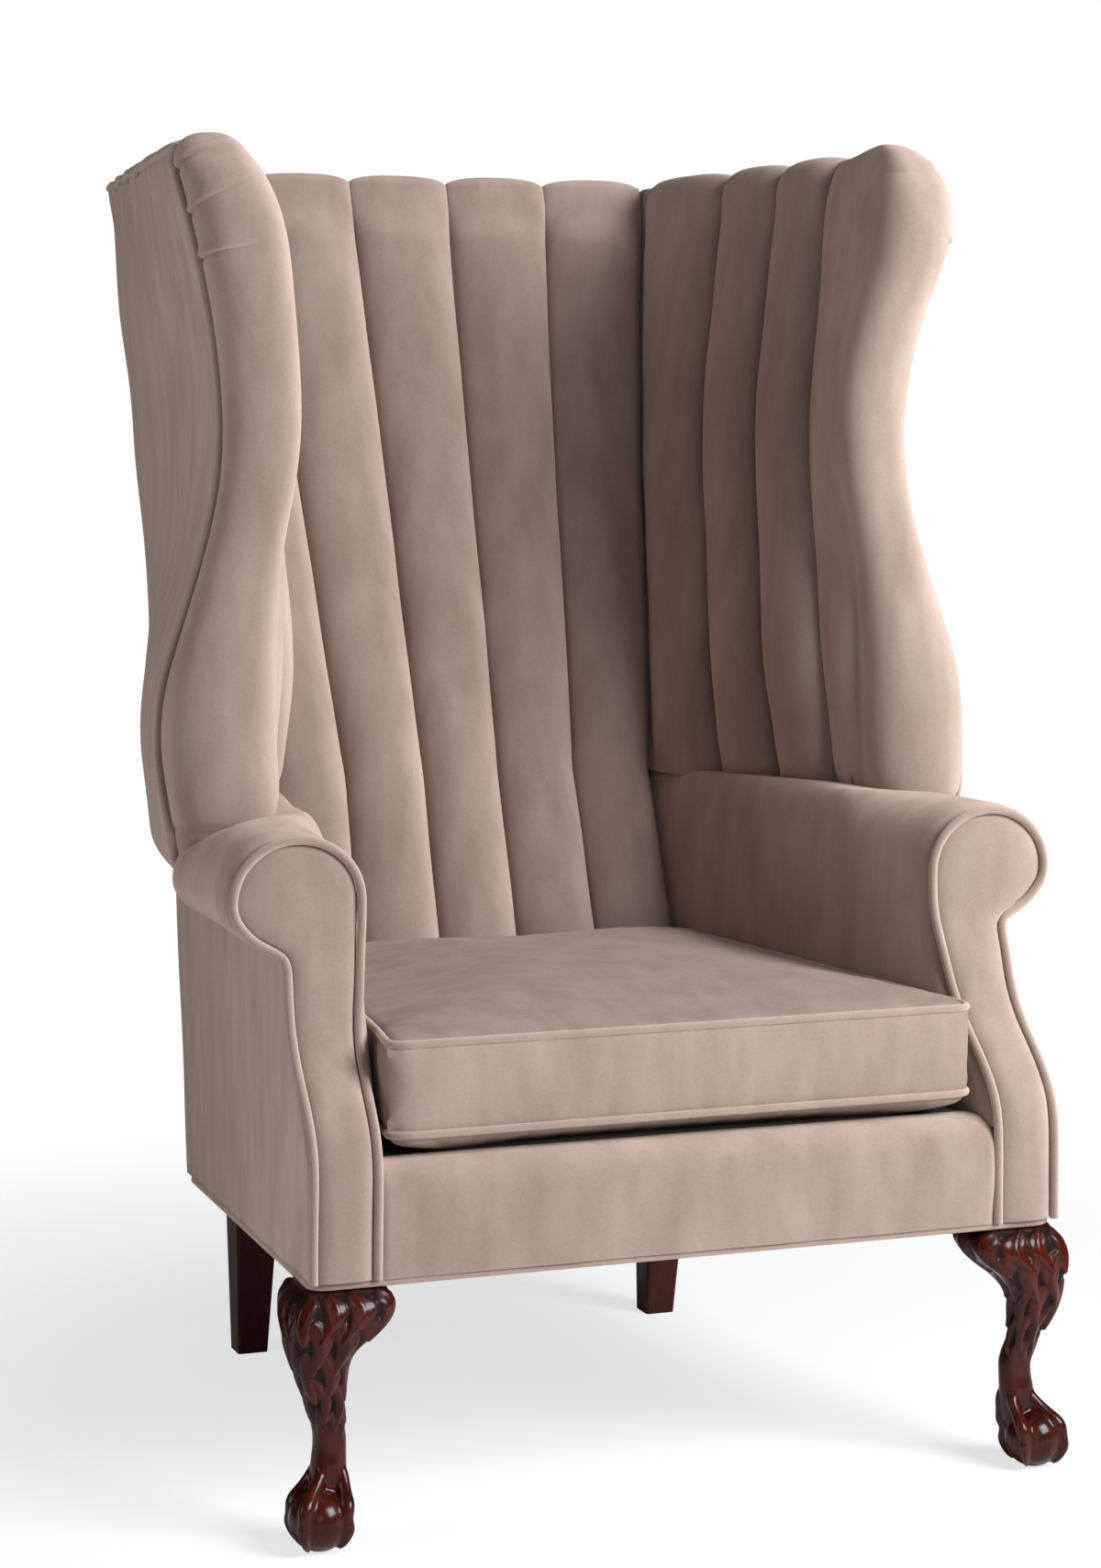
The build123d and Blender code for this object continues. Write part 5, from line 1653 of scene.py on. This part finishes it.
@dataclass
class Cushion:
    """Loose boxed seat cushion with a cord round both edges."""

    shop: Workshop
    near: float = 12.0
    far_low: float = 514.0
    far_top: float = 539.0
    gap: float = 9.0
    low_z: float = 348.0
    high_z: float = 428.0
    crown: float = 16.0
    belly: float = 14.0
    corner: float = 19.0
    waist: float = 90.0
    spread: float = 3.0
    voxel: float = 5.0
    frames: int = 16
    reach: float = 9.0
    # Middle of the zip tape's face: half length, y, height and slope.
    zip_half: float = 169.0
    zip_y: float = 97.5
    zip_z: float = 387.6
    zip_slope: float = 0.304

    def loop(self, far: float) -> Points:
        """Plan loop of one edge of the cushion.

        Args:
            far: Depth of the edge at the back.

        Returns:
            Points across and in depth.
        """
        near_half = LINES.arm(self.near) - self.gap + self.spread
        waist_half = LINES.arm(self.waist) - self.gap
        far_half = LINES.arm(far) - self.gap
        right = ((near_half, self.near), (waist_half, self.waist), (far_half, far))
        left = tuple((-x, depth) for x, depth in right[::-1])
        return rounded_loop(right + left, self.corner, 8.0)

    def edge(self, high: bool) -> Points:
        """Points of the top or bottom edge.

        Args:
            high: Whether it is the top edge.

        Returns:
            Points round the cushion.
        """
        loop = self.loop(self.far_top if high else self.far_low)
        return placed(loop[:, 0], loop[:, 1], self.high_z if high else self.low_z)

    def start(self) -> bpy.types.Object:
        """Crowned closed form that the stuffing swells from.

        Returns:
            The form as an object.
        """
        low, high = self.edge(False), self.edge(True)
        count = min(len(low), len(high))
        low = low[np.linspace(0, len(low) - 1, count).astype(int)]
        high = high[np.linspace(0, len(high) - 1, count).astype(int)]
        rows = []
        rim = (0.92, 0.94, 0.96, 0.975, 0.985, 0.993, 1.0)
        for share in np.concatenate([np.linspace(0.03, 0.9, 12), rim]):
            ring = low.mean(0) + (low - low.mean(0)) * share
            ring[:, 2] -= self.belly * math.sqrt(1.0 - max(share - 0.91, 0.0) ** 2 / 0.09**2)
            rows.append(ring)
        for share in np.linspace(0.0, 1.0, 9)[1:-1]:
            rows.append(low + (high - low) * share)
        for share in np.linspace(1.0, 0.03, 16):
            ring = high.mean(0) + (high - high.mean(0)) * share
            ring[:, 2] += self.crown * (1.0 - share**3)
            rows.append(ring)
        return closed_form("seat_cushion", capped(np.array(rows)))

    def build(self) -> None:
        """Make the cushion, swell it and sew its cords on."""
        piece = self.start()
        add_modifier(piece, "even", "REMESH", mode="VOXEL", voxel_size=self.voxel * MM)
        apply_modifiers(piece)
        self.swell(piece)
        self.sew(piece)
        self.shop.fit(piece, ["cushion_cover"], body=Body.CUSHION, fill=0.65, material=self.shop.seat)
        tree = BVHTree.FromObject(piece, bpy.context.evaluated_depsgraph_get())
        for high, tag in ((True, "top"), (False, "low")):
            seated = []
            for point in self.edge(high):
                hit, normal, _, _ = tree.find_nearest(Vector(point * MM))
                seated.append(np.array(hit + normal * 1.2 * MM) / MM)
            cord = cord_object(f"cushion_piping_{tag}", np.array(seated), 3.6, closed=True)
            self.shop.fit(cord, [f"cushion_cord_{tag}"], Slot.CORD, Body.CUSHION)

    def swell(self, piece: bpy.types.Object) -> None:
        """Blow the cover up against its seams and keep the result.

        Args:
            piece: The cushion, evenly meshed.
        """
        rest = vertex_array(piece.data)
        seams = np.concatenate([self.edge(True), self.edge(False)]) * MM
        held = piece.vertex_groups.new(name="held")
        for i, point in enumerate(rest):
            gap = np.min(np.linalg.norm(seams - point, axis=1)) / MM
            weight = float(np.exp(-((gap / 6.0) ** 2)))
            if weight > 0.02:
                held.add([i], weight, "REPLACE")
        settings = piece.modifiers.new("cloth", "CLOTH").settings
        settings.quality = 6
        settings.use_pressure = True
        settings.uniform_pressure_force = 4.0
        settings.effector_weights.gravity = 0.0
        settings.vertex_group_mass = "held"
        settings.shrink_min = -0.004
        settings.tension_stiffness = settings.compression_stiffness = 18.0
        settings.bending_stiffness = 0.6
        scene = bpy.context.scene
        for step in range(1, self.frames + 1):
            scene.frame_set(step)
        apply_modifiers(piece)
        scene.frame_set(1)
        moved = vertex_array(piece.data) - rest
        size = np.linalg.norm(moved, axis=1, keepdims=True)
        moved *= np.minimum(1.0, self.reach * MM / np.maximum(size, 1e-9))
        move_vertices(piece.data, rest + moved)
        piece.vertex_groups.clear()

    def sew(self, piece: bpy.types.Object) -> None:
        """Draw the cover in along both corded seams and smooth it.

        Args:
            piece: The swollen cushion.
        """
        add_modifier(piece, "smooth", "SMOOTH", factor=0.5, iterations=3)
        add_modifier(piece, "finer", "SUBSURF", levels=1, render_levels=1)
        apply_modifiers(piece)
        points, normals = vertex_array(piece.data), vertex_array(piece.data, "normal")
        for high in (True, False):
            seam = self.edge(high) * MM
            gap = np.min(np.linalg.norm(points[:, None] - seam[None], axis=2), axis=1) / MM
            points -= normals * (2.2 * MM * np.exp(-((gap / 7.0) ** 2)))[:, None]
        points[:, 1] -= self.zip_bed(points / MM) * MM
        move_vertices(piece.data, points)
        piece.data.shade_smooth()

    def zip_bed(self, points: Points) -> Points:
        """How far the rear of the boxing is let in so that the zip lies flush in it.

        Args:
            points: Points of the cover.

        Returns:
            Depth of the bed at each point, 0 away from the zip.
        """
        x, y, z = points.T
        bed = self.zip_y - 0.8 + self.zip_slope * (z - self.zip_z)
        inside = ease((self.zip_half + 14.0 - np.abs(x)) / 12.0)
        inside *= ease((20.0 - np.abs(z - self.zip_z)) / 11.0)
        return np.where(y > 0.0, np.maximum(y - bed, 0.0) * inside, 0.0)


@dataclass
class FrontLeg(SideAssembly):
    """Carved cabriole leg on a ball held by claws."""

    x: float = 338.0
    depth: float = 15.0
    top: float = 218.0
    block_z: float = 224.5
    block_top: float = 298.0
    block_inset: float = 24.0
    block_half: float = 20.0
    tuck_r: float = 11.0
    tuck_run: float = 15.0
    ankle_z: float = 44.0
    diagonal: float = 0.7071
    ball_r: float = 26.5
    ball_z: float = 26.5
    voxel: float = 1.4
    # Share of the height, shift out on the diagonal and half width of the leg's sections.
    sections: tuple = (
        (0.20, -14.5, 14.5),
        (0.275, -16.0, 14.9),
        (0.33, -17.0, 14.6),
        (0.385, -18.4, 13.7),
        (0.44, -18.6, 13.4),
        (0.495, -16.3, 13.5),
        (0.55, -12.4, 14.2),
        (0.62, -7.0, 16.2),
        (0.69, -3.5, 19.2),
        (0.757, -2.5, 23.0),
        (0.826, -5.7, 28.0),
        (0.94, -15.0, 34.0),
        (1.0, -20.0, 34.5),
    )
    # Height and reach of the knee blocks past the leg.
    ears: tuple = (
        (160.0, 0.0),
        (170.0, 1.5),
        (179.0, 6.0),
        (188.0, 13.0),
        (197.0, 18.0),
        (207.0, 20.0),
        (218.0, 18.5),
    )
    # Height of the leg line over the ball, distance out and thickness of a claw, from ankle to nail.
    claw: tuple = (
        (84.0, 6.0, 4.5),
        (70.0, 9.5, 6.0),
        (58.0, 15.0, 7.0),
        (48.0, 20.5, 7.6),
        (39.5, 24.5, 8.4),
        (31.0, 26.0, 6.2),
        (22.5, 26.5, 6.8),
        (14.0, 25.0, 4.8),
        (7.5, 21.5, 3.0),
        (4.0, 18.0, 1.2),
    )
    # Rows of carved locks: height of the root, length, half width and places round the knee.
    locks: tuple = (
        (224.0, 46.0, 13.0, (0, 25, -25, 50, -50, 76, -76, 102, -102)),
        (203.0, 52.0, 12.5, (13, -13, 38, -38, 63, -63, 88, -88)),
        (176.0, 52.0, 11.0, (0, 21, -21, 42, -42, 64, -64)),
        (150.0, 48.0, 8.5, (9, -9, 26, -26, 43, -43)),
        (124.0, 38.0, 6.0, (0, 12, -12, 25, -25)),
    )
    relief: float = 5.0

    def build(self) -> None:
        """Make the leg in one carved piece."""
        toes = [self.toe(heading) for heading in (-45.0, 45.0, 135.0, 225.0)]
        bm = bmesh.new()
        for part in [self.shaft(), self.ball()] + toes:
            mesh = part.data
            bm.from_mesh(mesh)
            bpy.data.objects.remove(part)
            bpy.data.meshes.remove(mesh)
        mesh = bpy.data.meshes.new(f"cabriole_leg_{self.side.tag}")
        bm.to_mesh(mesh)
        bm.free()
        piece = new_object(mesh.name, mesh)
        add_modifier(piece, "blend", "REMESH", mode="VOXEL", voxel_size=self.voxel * MM)
        add_modifier(piece, "smooth", "SMOOTH", factor=0.5, iterations=5)
        apply_modifiers(piece)
        self.carve(piece)
        nodes = [f"front_leg_{self.side.tag}", f"knee_blocks_{self.side.tag}"]
        self.shop.fit(piece, nodes, Slot.MAHOGANY, material=self.shop.carved)

    def centre(self, z: Points) -> tuple[Points, Points, Points]:
        """Middle and size of the leg.

        Args:
            z: Heights.

        Returns:
            The middle, across and in depth, and the half width there.
        """
        table = np.array(self.sections)
        shift, half = np.moveaxis(Spline(table[:, 0] * self.top, table[:, 1:])(z), -1, 0)
        return self.x + self.diagonal * shift, self.depth - self.diagonal * shift, half

    def shaft(self) -> bpy.types.Object:
        """Leg from the foot to its block in the corner of the seat frame.

        Returns:
            The shaft as an object.
        """
        rows = []
        angle = np.linspace(0.0, 2.0 * np.pi, 97)[:-1]
        c, s = np.cos(angle), np.sin(angle)
        ears = Spline(*zip(*self.ears))
        crown = np.linspace(self.top, self.block_z, 9)[1:]
        block = (self.block_z + 0.5, self.block_top)
        for z in np.concatenate([np.linspace(40.0, self.top, 70), crown, block]):
            x, depth, half = self.centre(np.array(z))
            grow = ears(np.array(z))
            half = half - self.tuck_r * quarter_round((z - self.block_z) / self.tuck_run + 1.0)
            if z > self.block_z:
                x, depth = self.x - self.block_inset, self.depth + self.block_inset
                half, grow = self.block_half, 0.0
            square = 2.6 + 1.6 * ease((z - 60.0) / 110.0)
            radius = (np.abs(c) ** square + np.abs(s) ** square) ** (-1.0 / square)
            across = c * radius * (half + np.where(c < 0, grow, 0.0))
            back = s * radius * (half + np.where(s > 0, grow, 0.0))
            rows.append(placed(x + across, depth + back, z))
        return closed_form("leg_shaft", self.side.place(capped(np.array(rows))))

    def ball(self) -> bpy.types.Object:
        """Ball under the claws, flat where it stands.

        Returns:
            The ball as an object.
        """
        rows = []
        angle = np.linspace(0.0, 2.0 * np.pi, 49)[:-1]
        for lift in np.linspace(-np.pi / 2, np.pi / 2, 26):
            r = self.ball_r * math.cos(lift)
            z = max(self.ball_z + self.ball_r * math.sin(lift), 0.0)
            rows.append(placed(self.x + r * np.cos(angle), self.depth + r * np.sin(angle), z))
        return closed_form("leg_ball", self.side.place(np.array(rows)))

    def toe(self, heading: float) -> bpy.types.Object:
        """Knuckled claw from the ankle down over the ball.

        Args:
            heading: Direction from the middle of the ball, in degrees in plan.

        Returns:
            The claw as an object.
        """
        out = np.array([math.cos(math.radians(heading)), math.sin(math.radians(heading)), 0.0])
        across = np.array([-out[1], out[0], 0.0])
        table = np.array(self.claw)
        curve = Spline(np.linspace(0, 1, len(table)), table)
        z, away, thick = np.moveaxis(curve(np.linspace(0, 1, 60)), -1, 0)
        x, depth, _ = self.centre(np.clip(z, self.ankle_z, self.top))
        lean = ease((z - 30.0) / 35.0)
        middle = placed(self.x + lean * (x - self.x), self.depth + lean * (depth - self.depth), z)
        line = middle + away[:, None] * out
        run = np.gradient(line, axis=0)
        run /= np.linalg.norm(run, axis=1, keepdims=True)
        up = np.cross(run, across)
        turn = np.linspace(0.0, 2.0 * np.pi, 25)[:-1]
        ring = np.cos(turn)[None, :, None] * up[:, None] + 0.85 * np.sin(turn)[None, :, None] * across
        grid = line[:, None] + np.maximum(thick, 0.5)[:, None, None] * ring
        grid[..., 2] = np.maximum(grid[..., 2], 0.3)
        return closed_form("leg_toe", self.side.place(capped(grid)))

    def carve(self, piece: bpy.types.Object) -> None:
        """Cut the overlapping locks into the knee and mark their relief, which the finish uses for painted
        shade in the grooves and for roughness.

        Args:
            piece: The leg in one mesh.
        """
        points, normals = vertex_array(piece.data) / MM, vertex_array(piece.data, "normal")
        z = points[:, 2]
        x, depth, half = self.centre(np.clip(z, self.ankle_z, self.top))
        right = points[:, 0] * self.side.value
        dx, dd = right - x, points[:, 1] - LINES.front_y - depth
        along = np.arctan2(dx + dd, dx - dd) * (half * 1.1 + 3.0)
        relief = np.zeros(len(points))
        for root, length, wide, places in self.locks:
            for place in places:
                relief = np.maximum(relief, self.lock(root, length, wide, place, along, z))
        shown = ease((z - 92.0) / 30.0) * ease((self.block_z + 1.0 - z) / 3.0)
        # Relief mark: low values get painted shade and a rougher surface in the finish.
        mark = piece.data.attributes.new("relief", "FLOAT", "POINT")
        mark.data.foreach_set("value", (relief * shown + 0.75 * (1.0 - shown)).astype(np.float32))
        points += normals * ((relief - 0.55) * self.relief * shown)[:, None]
        points[:, 2] = np.clip(points[:, 2], 0.0, None)
        move_vertices(piece.data, points * MM)

    def lock(self, root: float, length: float, wide: float, place: float, along: Points, z: Points) -> Points:
        """Relief of one carved lock.

        Args:
            root: Height of the root.
            length: Length of the lock down the leg.
            wide: Half width.
            place: Place of the lock round the knee.
            along: Place of each point round the knee.
            z: Height of each point.

        Returns:
            Relief at each point, from 0 to about 1.
        """
        t = np.clip((root - z) / length, 0.0, 1.0)
        way = 1.0 if place > 0 else -1.0 if place < 0 else 0.4
        middle = place * (1.0 - 0.12 * t) + way * wide * 0.55 * np.sin(t * 5.2 - 0.6)
        taper = np.clip(t / 0.18, 0.0, 1.0) ** 0.5 * np.clip((1.0 - t) / 0.75, 0.0, 1.0) ** 0.62
        gap = np.clip(np.abs(along - middle) / np.maximum(wide * taper, 0.3), 0.0, 1.0)
        ridge = np.sqrt(1.0 - gap**2) * (0.45 + 0.55 * ease(t / 0.6))
        veins = 0.1 * np.cos((along - middle) / wide * 8.0) * (1.0 - gap)
        return np.where((t > 0.0) & (t < 1.0), (ridge + veins) * ease((1.0 - t) / 0.1), 0.0)


@dataclass(frozen=True)
class Lamp:
    """Soft rectangular lamp aimed at a point."""

    name: str
    place: tuple[float, float, float]
    aim: tuple[float, float, float]
    size: tuple[float, float]
    power: float
    tint: tuple[float, float, float] = (1.0, 1.0, 1.0)

    def build(self) -> None:
        """Hang the lamp."""
        data = bpy.data.lights.new(self.name, "AREA")
        data.shape = "RECTANGLE"
        data.size, data.size_y = self.size
        data.energy = self.power
        data.color = self.tint
        lamp = bpy.data.objects.new(self.name, data)
        lamp.location = self.place
        lamp.rotation_euler = (Vector(self.aim) - Vector(self.place)).to_track_quat("-Z", "Y").to_euler()
        bpy.context.scene.collection.objects.link(lamp)


@dataclass
class Studio:
    """Pale floor, soft lamps and the camera."""

    camera_place: tuple[float, float, float] = (-1.140, -3.1039, 0.945)
    yaw: float = 20.55
    pitch: float = -6.05
    lens: float = 78.83
    room_tint: Colour = (1.0, 0.93, 0.87, 1.0)
    room_light: float = 0.064
    lamps: tuple[Lamp, ...] = (
        Lamp("key", (1.35, -2.3, 1.85), (0.0, -0.1, 0.65), (1.4, 1.4), 174.0, (0.94, 0.98, 1.0)),
        Lamp("front", (-0.9, -3.6, 1.2), (0.0, 0.0, 0.6), (1.4, 1.4), 9.0),
        Lamp("side", (-3.1, -0.4, 1.35), (0.0, 0.0, 0.7), (1.3, 1.8), 27.0),
        Lamp("top", (0.0, -0.4, 3.4), (0.0, 0.0, 0.5), (1.4, 1.4), 6.0),
    )

    def build(self) -> None:
        """Set up everything round the chair."""
        self.build_camera()
        self.build_floor()
        self.build_world()
        for lamp in self.lamps:
            lamp.build()
        bpy.context.scene.view_settings.view_transform = "Standard"

    def build_camera(self) -> None:
        """Stand the camera where the photograph was taken from."""
        data = bpy.data.cameras.new("camera")
        data.lens = self.lens
        data.sensor_width = 36.0
        camera = bpy.data.objects.new("camera", data)
        camera.location = self.camera_place
        camera.rotation_euler = (math.radians(90.0 + self.pitch), 0.0, math.radians(-self.yaw))
        bpy.context.scene.collection.objects.link(camera)
        bpy.context.scene.camera = camera

    def build_floor(self) -> None:
        """Lay a pale floor that fades into the white behind it."""
        mesh = bpy.data.meshes.new("floor")
        bm = bmesh.new()
        bmesh.ops.create_circle(bm, cap_ends=True, segments=64, radius=9.0)
        bm.to_mesh(mesh)
        bm.free()
        floor = new_object("floor", mesh)
        material, nodes = new_material("pale_floor")
        place = nodes.add("ShaderNodeTexCoord").outputs["Object"]
        away = nodes.add("ShaderNodeVectorMath", {0: place}, operation="LENGTH").outputs["Value"]
        faded = nodes.ramp(away, 0.45, 1.3, 0.7, 1.0)
        seen = nodes.add("ShaderNodeLightPath").outputs["Is Camera Ray"]
        matt = nodes.add("ShaderNodeBsdfDiffuse", {"Color": (0.9, 0.9, 0.9, 1.0)}).outputs[0]
        white = nodes.add("ShaderNodeEmission", {"Color": (1.0, 1.0, 1.0, 1.0), "Strength": 1.0}).outputs[0]
        share = nodes.math("MULTIPLY", seen, faded)
        both = nodes.add("ShaderNodeMixShader", {0: share, 1: matt, 2: white}).outputs[0]
        nodes.add("ShaderNodeOutputMaterial", {"Surface": both})
        mesh.materials.append(material)

    def build_world(self) -> None:
        """Light the room evenly, with white behind the chair."""
        world = bpy.data.worlds.new("studio")
        bpy.context.scene.world = world
        world.use_nodes = True
        world.node_tree.nodes.clear()
        nodes = Nodes(world.node_tree)
        paths = nodes.add("ShaderNodeLightPath").outputs
        seen = nodes.math("MAXIMUM", paths["Is Camera Ray"], paths["Is Transmission Ray"])
        shades = ((self.room_tint, self.room_light), ((1.0, 1.0, 1.0, 1.0), 1.0))
        soft, white = (
            nodes.add("ShaderNodeBackground", {"Color": colour, "Strength": strength}).outputs[0]
            for colour, strength in shades
        )
        both = nodes.add("ShaderNodeMixShader", {0: seen, 1: soft, 2: white}).outputs[0]
        nodes.add("ShaderNodeOutputWorld", {"Surface": both})


def main() -> None:
    """Build the chair's pieces in order."""
    logging.basicConfig(level=logging.INFO, format="%(name)s %(message)s")
    Studio().build()
    shop = Workshop()
    shop.finish_frame()
    FlutedBack(shop).build()
    pleats = {
        Side.LEFT: (Pleat(1084.0, 0.2, 82.0, 3.2), Pleat(1122.0, 0.4, 74.0, 3.2), Pleat(1160.0, 0.5, 60.0)),
        Side.RIGHT: (Pleat(1105.0, 0.25, 44.0), Pleat(1146.0, 0.35, 32.0), Pleat(1178.0, 0.1, 42.0, 2.0)),
    }
    domes = {Side.LEFT: (1200.0, 42.0, 1168.0), Side.RIGHT: (1208.0, 60.0, 1105.0)}
    for side in Side:
        Wing(shop, side, pleats[side], *domes[side]).build()
        Arm(shop, side).build()
        FrontLeg(shop, side).build()
    SeatBase(shop).build()
    Cushion(shop).build()


if __name__ == "__main__":
    main()
